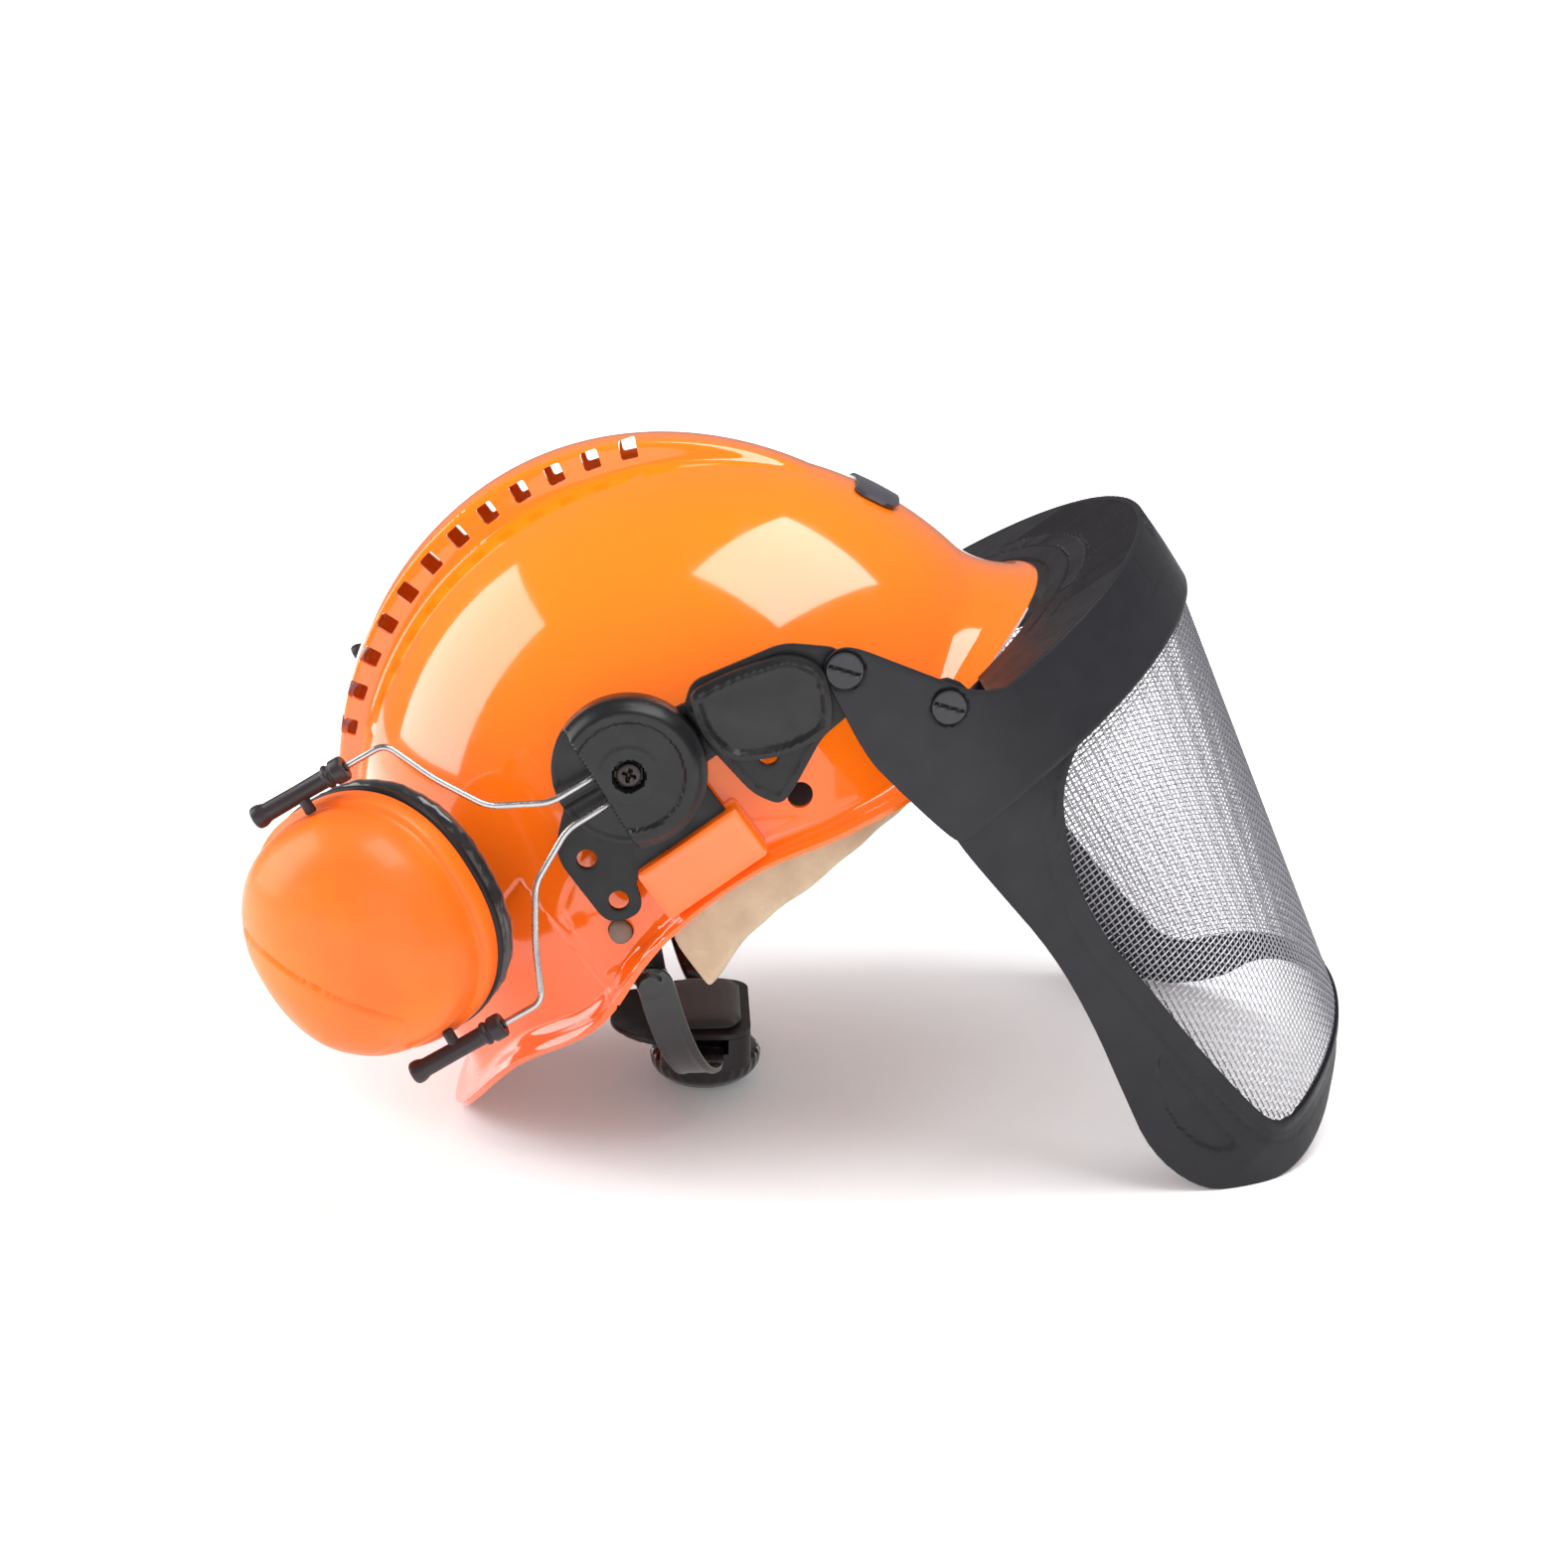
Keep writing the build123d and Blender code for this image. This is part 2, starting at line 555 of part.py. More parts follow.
def visor_sheet(inset, thick, outline, grow):
    """A curved sheet of the visor, cut to an outline seen from the side."""
    with BuildPart() as sheet:
        with BuildSketch(SIDE.offset(-130)):
            Polygon(*outline, align=None)
            if grow:
                offset(amount=grow, kind=Kind.INTERSECTION)
        extrude(amount=260)
        add(visor_wall(inset), mode=Mode.INTERSECT)
        add(visor_wall(inset + thick), mode=Mode.SUBTRACT)
        with BuildSketch(Plane.XY.offset(-240)):
            with Locations((0, -50)):
                Rectangle(200, 60)
        extrude(amount=300, mode=Mode.SUBTRACT)
    return sheet.part


with BuildPart() as visor_bracket:
    add(arch(*ARCH, ARCH_CENTRE_Y, -40, 100))
    add(arch(ARCH[0] - ARCH_SIDE, ARCH[1] - ARCH_FRONT, ARCH_CENTRE_Y, -40, 100), mode=Mode.SUBTRACT)
    with BuildSketch(SIDE.offset(-130)):
        Polygon((78, 48.9), (85.6, 49.2), (96.6, 34.5), (113.2, 8.4), (122, FASCIA_TOP), (220, FASCIA_TOP),
                (220, FASCIA_FOOT), (78.8, -31), (70.4, 14), (74.7, 41), align=None)
        with Locations(PIVOT):
            Circle(BOSS_RADIUS)
    extrude(amount=260, mode=Mode.INTERSECT)
    with BuildSketch(Plane.XY.offset(FASCIA_TOP - 3)):
        with Locations((0, ARCH_CENTRE_Y)):
            Ellipse(ARCH[0] - 1, ARCH[1] - 1)
        with Locations((0, RIM_CENTRE_Y)):
            Ellipse(RIM[0] + 3.5, RIM[1] + 3.5, mode=Mode.SUBTRACT)
        with Locations((0, -PLATE_REAR)):
            Rectangle(300, 300, align=(Align.CENTER, Align.MIN), mode=Mode.SUBTRACT)
    extrude(amount=3)
    with BuildSketch(SIDE):
        with Locations(PIVOT):
            Circle(AXLE_RADIUS + RUNNING)
        with Locations(VISOR_SCREW):
            Circle(SCREW_RADIUS + 0.5)
    extrude(amount=130, both=True, mode=Mode.SUBTRACT)
    for side in (-1, 1):
        with BuildSketch(SIDE.offset(side * 115.6)):
            with Locations(VISOR_SCREW):
                Circle(7.6)
        extrude(amount=side * 5, mode=Mode.SUBTRACT)
write(visor_bracket, "visor_bracket")

with BuildPart() as visor_frame:
    add(visor_sheet(0, FRAME_THICK, FRAME_OUTLINE, 0))
    add(side_slab(MESH_OUTLINE), mode=Mode.SUBTRACT)
    add(visor_sheet(MESH_INSET - 0.2, MESH_THICK + 0.4, MESH_OUTLINE, 4.0), mode=Mode.SUBTRACT)
    with BuildSketch(SIDE):
        with Locations(VISOR_SCREW):
            Circle(SCREW_RADIUS + RUNNING)
    extrude(amount=130, both=True, mode=Mode.SUBTRACT)
write(visor_frame, "visor_frame")

with BuildPart() as visor_mesh:
    add(visor_sheet(MESH_INSET, MESH_THICK, MESH_OUTLINE, 3.4))
write(visor_mesh, "visor_mesh")


# ================================================================== harness
def band(outside_gap, thick):
    """A tall oval ring that follows the headband; outside_gap is measured from its outside."""
    with BuildPart() as ring:
        with BuildSketch(Plane.XY.offset(-60)):
            with Locations((0, BAND_CENTRE_Y)):
                Ellipse(BAND[0] + outside_gap, BAND[1] + outside_gap)
                Ellipse(BAND[0] + outside_gap - thick, BAND[1] + outside_gap - thick, mode=Mode.SUBTRACT)
        extrude(amount=120)
    return ring.part


with BuildPart() as headband:
    add(band(0, BAND_THICK))
    with BuildSketch(SIDE.offset(-130)):
        with Locations((0, (BAND_FOOT + BAND_TOP) / 2)):
            Rectangle(260, BAND_TOP - BAND_FOOT)
        Polygon((-NAPE_PIVOT[0] - 12, BAND_FOOT), (-NAPE_PIVOT[0] + 12, BAND_FOOT),
                (-NAPE_PIVOT[0] + 7, NAPE_PIVOT[1]), (-NAPE_PIVOT[0] - 7, NAPE_PIVOT[1]), align=None)
        with Locations((-NAPE_PIVOT[0], NAPE_PIVOT[1])):
            Circle(7)
    extrude(amount=260, mode=Mode.INTERSECT)
    with BuildSketch(SIDE):
        with Locations((-NAPE_PIVOT[0], NAPE_PIVOT[1])):
            Circle(3 + RUNNING)
    extrude(amount=130, both=True, mode=Mode.SUBTRACT)
write(headband, "headband")

# the sweatband wraps the lower edge of the headband from side to side, round the forehead
SWEAT_EDGE = (
    (140, -16), (62, -21), (33, -18), (-3, -17.5), (-28, -25), (-31, -28), (-33, -22), (-33, 18), (140, 18),
)
with BuildPart() as band_room:
    add(band(0.3, BAND_THICK + 0.6))
    split(bisect_by=Plane.XY.offset(BAND_FOOT - 0.3), keep=Keep.TOP)

with BuildPart() as above_flap:
    add(band(3, 3.2))
    split(bisect_by=Plane.XY.offset(-4), keep=Keep.TOP)

with BuildPart() as sweatband:
    add(band(2.2, 6.6))
    add(side_slab(SWEAT_EDGE), mode=Mode.INTERSECT)
    add(band_room.part, mode=Mode.SUBTRACT)
    add(above_flap.part, mode=Mode.SUBTRACT)
write(sweatband, "sweatband")

with BuildPart() as harness_clips:
    for clip in CLIPS:
        with BuildSketch(clip_plane(clip)):
            Polygon((0.7, -2), (3.5, -2), (3.5, 8), (16.3, 8), (16.3, 25), (13.5, 25),
                    (13.5, 11), (3.5, 11), (3.5, 30), (0.7, 30), align=None)
        extrude(amount=9, both=True)
write(harness_clips, "harness_clips")


def crown_strap(turn, lift):
    """One webbing strap over the crown, from a front clip to the rear clip across from it."""
    along = Vector(sin(radians(turn)), -cos(radians(turn)), 0)
    with BuildPart() as strap:
        middle = Plane(origin=(0, BAND_CENTRE_Y, 0), x_dir=along, z_dir=along.cross(Vector(0, 0, 1)))
        with BuildSketch(middle):
            Ellipse(STRAP_RADIUS, STRAP_HEIGHT + lift)
            Ellipse(STRAP_RADIUS - STRAP_THICK, STRAP_HEIGHT + lift - STRAP_THICK, mode=Mode.SUBTRACT)
            with Locations((0, 22)):
                Rectangle(300, 300, align=(Align.CENTER, Align.MAX), mode=Mode.SUBTRACT)
        extrude(amount=STRAP_WIDTH / 2, both=True)
    return strap


write(crown_strap(CLIP_ANGLE, 0), "crown_strap_lower")
write(crown_strap(-CLIP_ANGLE, STRAP_THICK + 1.2), "crown_strap_upper")

# the nape unit is drawn as worn and folded under about its studs
NAPE_SEAT = Pos(0, *NAPE_PIVOT) * Rot(-NAPE_FOLD, 0, 0) * Pos(0, -NAPE_PIVOT[0], -NAPE_PIVOT[1])


def write_nape(builder, name):
    builder.part.move(NAPE_SEAT)
    write(builder, name)


with BuildPart() as nape_strap:
    with BuildSketch(Plane.XY.offset(-70)):
        with BuildLine():
            bend = Spline(
                (-STRAP_X - 1, NAPE_PIVOT[0] - 7), (-STRAP_X - 1, NAPE_PIVOT[0] + 6), (-44, RACK_Y),
                tangents=((0, 1), (1, 0)),
            )
            Line(bend @ 1, (-26, RACK_Y))
        trace(line_width=NAPE_THICK)
    extrude(amount=80)
    with BuildSketch(SIDE.offset(-130)):
        Polygon((-NAPE_PIVOT[0], NAPE_PIVOT[1] - 7), (-NAPE_PIVOT[0], NAPE_PIVOT[1] + 7),
                (-84, NAPE_Z + 7), (-100, NAPE_Z + 7), (-100, NAPE_Z - 7), (-84, NAPE_Z - 7), align=None)
        with Locations((-NAPE_PIVOT[0], NAPE_PIVOT[1])):
            Circle(7)
    extrude(amount=260, mode=Mode.INTERSECT)
    with BuildSketch(SIDE.offset(STRAP_X + NAPE_THICK / 2)):
        with Locations((-NAPE_PIVOT[0], NAPE_PIVOT[1])):
            Circle(3)
    extrude(amount=NAPE_STUD)
nape_strap_body = nape_strap.part

for hand, lift in (("right", 4.8), ("left", -8.8)):
    with BuildPart() as strap_end:
        if hand == "right":
            add(nape_strap_body)
        else:
            mirror(nape_strap_body, about=Plane.YZ)
        toward = -1 if hand == "right" else 1
        with BuildSketch(Plane.XY.offset(NAPE_Z + lift)):
            with Locations((toward * 9, RACK_Y)):
                Rectangle(42, NAPE_THICK)
        extrude(amount=4)
    write_nape(strap_end, f"nape_strap_{hand}")

with BuildPart() as ratchet_housing:
    with BuildSketch(Plane.XZ.offset(-HOUSING_BACK)):
        with Locations((0, NAPE_Z)):
            RectangleRounded(*HOUSING, 10)
    extrude(amount=HOUSING_BACK - HOUSING_FRONT)
    with BuildSketch(Plane.XZ.offset(-HOUSING_BACK + 3)):
        with Locations((0, NAPE_Z)):
            RectangleRounded(HOUSING[0] - 5, HOUSING[1] - 5, 8)
    extrude(amount=20, mode=Mode.SUBTRACT)
    with BuildSketch(Plane.XZ.offset(-HOUSING_BACK - 1)):
        with Locations((0, NAPE_Z)):
            Circle(AXLE_RADIUS + RUNNING)
    extrude(amount=8, mode=Mode.SUBTRACT)
    with BuildSketch(Plane.XZ.offset(-RACK_Y - NAPE_THICK)):
        with Locations((0, NAPE_Z)):
            Rectangle(HOUSING[0] + 4, 18)
    extrude(amount=20, mode=Mode.SUBTRACT)
write_nape(ratchet_housing, "ratchet_housing")

with BuildPart() as ratchet_cover:
    with BuildSketch(Plane.XZ.offset(-HOUSING_FRONT + 0.2)):
        with Locations((0, NAPE_Z)):
            RectangleRounded(*HOUSING, 10)
    extrude(amount=2)
write_nape(ratchet_cover, "ratchet_cover")

with BuildPart() as nape_pad:
    with BuildSketch(Plane.XZ.offset(-HOUSING_FRONT + 2.4)):
        with Locations((0, NAPE_Z)):
            RectangleRounded(HOUSING[0] - 6, HOUSING[1] - 4, 9)
    extrude(amount=6)
write_nape(nape_pad, "nape_pad")

with BuildPart() as ratchet_knob:
    with BuildSketch(Plane.XY):
        with BuildLine():
            EllipticalCenterArc((KNOB_FLAT, KNOB_BACK + 4), KNOB_RADIUS - KNOB_FLAT,
                                KNOB_FACE - KNOB_BACK - 4, 0, arc_size=90)
            Polyline((KNOB_RADIUS, KNOB_BACK + 4), (KNOB_RADIUS - 2, KNOB_BACK), (AXLE_RADIUS, KNOB_BACK),
                     (AXLE_RADIUS, PINION_BACK), (0, PINION_BACK), (0, KNOB_FACE), (KNOB_FLAT, KNOB_FACE))
        make_face()
    revolve(axis=Axis.Y)
ratchet_knob.part.move(Pos(0, 0, NAPE_Z))
write_nape(ratchet_knob, "ratchet_knob")

with BuildPart() as ratchet_pinion:
    with BuildSketch(Plane.XZ.offset(-PINION_FRONT)):
        with Locations((0, NAPE_Z)):
            Circle(PINION_RADIUS)
    extrude(amount=PINION_FRONT - PINION_BACK)
write_nape(ratchet_pinion, "ratchet_pinion")
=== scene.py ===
"""The looks of the forestry helmet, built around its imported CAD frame.

Shapes are drawn in the wearer's frame, in millimetres: x to the wearer's left, y backwards, z up, with the
origin at the middle of the rim. WORLD takes them to the row frame, where the helmet lies on its visor tips.
On the sides, shapes are drawn as (forwards, up, out).
"""
import json
import math

import bmesh
import bpy
import numpy as np
from mathutils import Matrix, Vector, geometry
from mathutils.kdtree import KDTree


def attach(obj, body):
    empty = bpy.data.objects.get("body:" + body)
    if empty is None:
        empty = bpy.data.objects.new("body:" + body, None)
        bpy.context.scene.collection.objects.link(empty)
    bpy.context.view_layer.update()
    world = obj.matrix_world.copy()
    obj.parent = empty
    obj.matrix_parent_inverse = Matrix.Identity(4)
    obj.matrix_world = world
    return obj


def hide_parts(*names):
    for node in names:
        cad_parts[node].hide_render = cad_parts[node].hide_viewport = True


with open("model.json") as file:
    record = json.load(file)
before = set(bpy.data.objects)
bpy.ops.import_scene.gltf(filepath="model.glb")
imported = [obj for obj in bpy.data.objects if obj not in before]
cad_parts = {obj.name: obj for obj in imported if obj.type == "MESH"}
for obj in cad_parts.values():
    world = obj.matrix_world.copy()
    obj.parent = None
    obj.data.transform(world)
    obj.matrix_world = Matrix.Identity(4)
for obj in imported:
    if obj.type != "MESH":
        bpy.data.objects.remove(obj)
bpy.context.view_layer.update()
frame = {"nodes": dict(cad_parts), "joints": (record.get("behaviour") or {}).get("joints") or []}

# ---------------------------------------------------------------- driving dimensions, mm
LEAN = 35
PIVOT = (81.8, 42.7)  # the visor's pivot: forwards, up
WALL = 2.5
DOME = (104.0, 138.0, 139.0)
RIM = (110.0, 158.0, 150.0, 3.0)  # half width, reach forwards and backwards, middle y
RIM_LINE = (
    (-160, 6), (-113, 0), (-84, -13), (-52, -9), (-15, 0),
    (35, -4.5), (65, -16.5), (108, -18), (156, -37),
)
RIDGE = (131.0, 142.5, 152.4)  # front, back and top of the crown ridge
VENT_COUNT, VENT, VENT_LIFT = 12, 7.0, 3.5
VENT_FIRST, VENT_STEP = -22.8, 5.75
CHIN_HOLE, PLUG_HOLE, HOLE_RADIUS = (42.3, 10.4), (-37.8, 6.5), 4.5
DISC_CENTRE, DISC_RADIUS = (2.5, 56.0), 26.5
CARRIER_IN, PLATE = 111.5, 3.0
ARM_PITCH, ARM_ROLL, CUP_SWIVEL = 5, 8, 20
HINGE = (-9.0, 120.0)
CUP_PLACE, CUP_SET_BACK = (-98.0, 127.0), 8.0
CUP, CUP_RIM = (41.5, 46.0, 29.0), -13.0
SLEEVE_GAP, SLEEVE_RADIUS = 51.0, 3.3
ARCH, ARCH_CENTRE = (118.0, 120.5), -80.0
FASCIA_TOP, FASCIA_FOOT = 4.0, -28.0
FRAME_SECTIONS = (
    (114.6, 119.8, -78.0, -8.0), (114.6, 119.8, -78.0, -30.0),
    (109.0, 91.0, -71.0, -200.0), (106.0, 79.0, -70.0, -222.0),
)
FRAME_THICK, MESH_INSET = 2.8, 1.0
BAND, BAND_CENTRE = (84.0, 104.0), -4.0
PEAK, PEAK_Y = (RIM[0] + 3.6, 157.6), -1.5  # inner edge of the bracket's ribbed top: half width, reach, middle y
VISOR_SCREW = (103.1, 11.2)
LID_IN = CARRIER_IN + PLATE  # where the parts on the carrier's outside start
ROUNDING = 0.29  # where a rounded edge passes its middle, as a share of its radius
CLOTH_PRESSURE, CLOTH_FRAMES, CLOTH_VOXEL = 4.0, 20, 0.0030

JOINTS = {joint["name"]: joint for joint in frame["joints"]}
LEAN_BACK = Matrix.Rotation(-math.radians(LEAN), 4, "X")
ORIGIN = Vector(JOINTS["visor_tilt"]["pos_m"]) - LEAN_BACK @ Vector((0, -PIVOT[0], PIVOT[1])) / 1000
WORLD = Matrix.Translation(ORIGIN) @ LEAN_BACK @ Matrix.Scale(0.001, 4)


# ---------------------------------------------------------------- small tools
def smooth(low, high, value):
    """Smooth step of value from 0 at low to 1 at high."""
    t = np.clip((np.asarray(value, float) - low) / (high - low), 0, 1)
    return t * t * (3 - 2 * t)


def bell(centre, half_width, value):
    """A smooth bump of height 1 at centre."""
    return 1 - smooth(0, half_width, np.abs(np.asarray(value, float) - centre))


def hermite(t, start, pull, end, lead):
    """Cubic from start, leaving along pull, to end, arriving along lead."""
    return ((2 * t**3 - 3 * t**2 + 1) * start + (t**3 - 2 * t**2 + t) * pull
            + (3 * t**2 - 2 * t**3) * end + (t**3 - t**2) * lead)


def curve_through(points, at):
    """Smooth curve through (x, y) points with rising x, read at the given x."""
    xs, ys = np.array(points, float).T
    slopes = np.gradient(ys, xs)
    i = np.clip(np.searchsorted(xs, at) - 1, 0, len(xs) - 2)
    h = xs[i + 1] - xs[i]
    return hermite(np.clip((at - xs[i]) / h, 0, 1), ys[i], h * slopes[i], ys[i + 1], h * slopes[i + 1])


def side_matrix(hand):
    """(forwards, up, out) on the wearer's right (hand 1) or left (hand -1) side, to the wearer's frame."""
    return Matrix(((0, 0, -hand, 0), (-1, 0, 0, 0), (0, 1, 0, 0), (0, 0, 0, 1)))


def turn(axis, degrees):
    return Matrix.Rotation(math.radians(degrees), 4, axis)


def move(x, y, z):
    return Matrix.Translation((x, y, z))


def right_disc():
    return side_matrix(1) @ move(*DISC_CENTRE, 0) @ turn("Z", -ARM_PITCH)


def right_yoke():
    return right_disc() @ move(CUP_PLACE[0], 0, CUP_PLACE[1]) @ turn("X", -ARM_ROLL)


def right_cup():
    return right_yoke() @ turn("Y", -CUP_SWIVEL) @ move(-CUP_SET_BACK, 0, 0)


MIRROR = Matrix.Diagonal((-1, 1, 1, 1))
HANDS = (("right", Matrix.Identity(4)), ("left", MIRROR))


def mapped(points, matrix):
    return points @ np.array(matrix.to_3x3()).T + np.array(matrix.translation)


def face_outwards(mesh):
    """Turns every face of a closed mesh outwards."""
    form = bmesh.new()
    form.from_mesh(mesh)
    bmesh.ops.recalc_face_normals(form, faces=form.faces)
    if form.calc_volume(signed=True) < 0:
        bmesh.ops.reverse_faces(form, faces=form.faces)
    form.to_mesh(mesh)
    form.free()


def piece(name, verts, faces, material, body, place=Matrix.Identity(4), sharp=35, node=None):
    """A mesh object from points in mm; place takes them to the wearer's frame. It rides on body and stands for the
    CAD node, if one is given."""
    matrix = WORLD @ place
    moved = mapped(np.asarray(verts, float).reshape(-1, 3), matrix)
    moved[:, 2] = np.maximum(moved[:, 2], 0)  # what rests on the table is flat against it
    if matrix.to_3x3().determinant() < 0:
        faces = [tuple(reversed(face)) for face in faces]
    mesh = bpy.data.meshes.new(name)
    mesh.from_pydata(moved.tolist(), [], [tuple(int(i) for i in face) for face in faces])
    mesh.validate()
    face_outwards(mesh)
    mesh.shade_smooth()
    mesh.set_sharp_from_angle(angle=math.radians(sharp))
    mesh.materials.append(material)
    thing = bpy.data.objects.new(name, mesh)
    bpy.context.scene.collection.objects.link(thing)
    if body:
        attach(thing, body)
    if node:
        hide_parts(node)
    return thing


def add_modifier(thing, kind, **settings):
    modifier = thing.modifiers.new(kind.lower(), kind)
    for key, value in settings.items():
        setattr(modifier, key, value)
    return modifier


def apply_modifiers(thing):
    """Keeps the evaluated mesh as the object's own mesh."""
    graph = bpy.context.evaluated_depsgraph_get()
    mesh = bpy.data.meshes.new_from_object(thing.evaluated_get(graph))
    thing.modifiers.clear()
    thing.data = mesh


def grid_faces(rows, columns):
    """Quads of rings of points stored ring by ring."""
    faces = []
    for r in range(rows - 1):
        for c in range(columns):
            a, b = r * columns + c, r * columns + (c + 1) % columns
            faces.append((a, b, b + columns, a + columns))
    return faces


def capped(verts, faces, rows, steps):
    """Closes the first and the last ring with a fan."""
    verts = np.asarray(verts, float)
    first, last = verts[:steps].mean(0), verts[(rows - 1) * steps:rows * steps].mean(0)
    a, b = len(verts), len(verts) + 1
    verts = np.vstack([verts, first, last])
    faces = list(faces)
    for c in range(steps):
        d = (c + 1) % steps
        faces.append((a, d, c))
        faces.append((b, (rows - 1) * steps + c, (rows - 1) * steps + d))
    return verts, faces


def turned(name, profile, scale, steps, material, body, place, sharp=40, shaped=None, node=None):
    """An oval solid turned about z from (radius share, z) points; shaped may move its points before it is closed."""
    angles = np.linspace(0, 2 * math.pi, steps, endpoint=False)
    verts = np.concatenate([
        np.stack([share * scale[0] * np.cos(angles), share * scale[1] * np.sin(angles),
                  np.full(steps, float(z))], 1) for share, z in profile])
    if shaped:
        verts = shaped(verts)
    verts, faces = capped(verts, grid_faces(len(profile), steps), len(profile), steps)
    return piece(name, verts, faces, material, body, place, sharp, node)


def round_profile(points, radius, bends):
    """An open polyline with its inner corners rounded."""
    points = [Vector(p) for p in points]
    out = [points[0]]
    for before, corner, after in zip(points, points[1:], points[2:]):
        reach = min(radius, (before - corner).length * 0.45, (after - corner).length * 0.45)
        a = corner + (before - corner).normalized() * reach
        b = corner + (after - corner).normalized() * reach
        for i in range(bends + 1):
            t = i / bends
            out.append(a * (1 - t) ** 2 + corner * 2 * t * (1 - t) + b * t**2)
    out.append(points[-1])
    return out


def round_loop(points, radius, bends=6):
    """A closed polygon with rounded corners; a corner may give its own radius as a third value."""
    count = len(points)
    out = []
    for i in range(count):
        before, corner, after = (np.array(points[(i + k) % count][:2], float) for k in (-1, 0, 1))
        own = points[i][2] if len(points[i]) > 2 else radius
        lengths = np.linalg.norm(before - corner), np.linalg.norm(after - corner)
        reach = min(own, lengths[0] * 0.48, lengths[1] * 0.48)
        a = corner + (before - corner) / lengths[0] * reach
        b = corner + (after - corner) / lengths[1] * reach
        for k in range(bends + 1):
            t = k / bends
            out.append(a * (1 - t) ** 2 + corner * 2 * t * (1 - t) + b * t**2)
    return np.array(out)


def circle(centre, radius, steps=40):
    angles = np.linspace(0, 2 * math.pi, steps, endpoint=False)
    return np.stack([centre[0] + radius * np.cos(angles), centre[1] + radius * np.sin(angles)], 1)


def even_loop(loop, step):
    """The same closed outline with points about step apart, corners kept."""
    out = []
    for a, b in zip(loop, np.roll(loop, -1, axis=0)):
        count = max(1, int(round(np.linalg.norm(b - a) / step)))
        out += [a + (b - a) * k / count for k in range(count)]
    out = np.array(out)
    keep = np.linalg.norm(out - np.roll(out, 1, axis=0), axis=1) > step * 0.12
    return out[keep]


def area(loop):
    x, y = loop.T
    return 0.5 * float(np.sum(x * np.roll(y, -1) - y * np.roll(x, -1)))


def inset(loop, amount):
    """Moves a closed outline sideways: inwards for a positive area."""
    ahead, behind = np.roll(loop, -1, axis=0), np.roll(loop, 1, axis=0)
    tangent = ahead - behind
    tangent /= np.maximum(np.linalg.norm(tangent, axis=1, keepdims=True), 1e-9)
    return loop + amount * np.stack([-tangent[:, 1], tangent[:, 0]], 1)


def inside(points, loop):
    """Which points lie inside a closed outline."""
    x, y = points[:, 0:1], points[:, 1:2]
    ax, ay = loop[:, 0][None], loop[:, 1][None]
    bx, by = np.roll(loop[:, 0], -1)[None], np.roll(loop[:, 1], -1)[None]
    spans = (ay > y) != (by > y)
    cross = ax + (y - ay) / np.where(by == ay, 1e-12, by - ay) * (bx - ax)
    return (np.sum(spans & (x < cross), axis=1) % 2).astype(bool)


def outlines_hold(points, loops):
    """Which points lie inside the first outline and outside the others."""
    good = inside(points, loops[0])
    for hole in loops[1:]:
        good &= ~inside(points, hole)
    return good


def flat_tree(points):
    """A search tree of 2D points."""
    tree = KDTree(len(points))
    for i, p in enumerate(points):
        tree.insert((p[0], p[1], 0), i)
    tree.balance()
    return tree


def nearest(tree, points, what):
    """For each 2D point, the index (what 1) of the tree's nearest point or the distance to it (what 2)."""
    return [tree.find((p[0], p[1], 0))[what] for p in points]


def distance_to(loop, points):
    """Distance from each point to a closed outline."""
    return np.array(nearest(flat_tree(even_loop(np.asarray(loop, float), 0.4)), points, 2))


def fill(loops, spacing):
    """Even triangles inside the first outline and outside the others."""
    points = np.concatenate(loops)
    edges, base = [], 0
    for loop in loops:
        edges += [(base + i, base + (i + 1) % len(loop)) for i in range(len(loop))]
        base += len(loop)
    low, high = loops[0].min(0), loops[0].max(0)
    rows = []
    for k, y in enumerate(np.arange(low[1], high[1], spacing * 0.87)):
        xs = np.arange(low[0] + (k % 2) * spacing / 2, high[0], spacing)
        rows.append(np.stack([xs, np.full(len(xs), y)], 1))
    grid = np.concatenate(rows)
    grid = grid[outlines_hold(grid, loops)]
    if len(grid):
        grid = grid[np.array(nearest(flat_tree(points), grid, 2)) > spacing * 0.6]
    everything = [Vector(p) for p in np.vstack([points, grid])]
    result = geometry.delaunay_2d_cdt(everything, edges, [], 0, 1e-6)
    verts = np.array([v[:] for v in result[0]])
    faces = np.array([f for f in result[2] if len(f) == 3])
    return verts, faces[outlines_hold(verts[faces].mean(1), loops)]


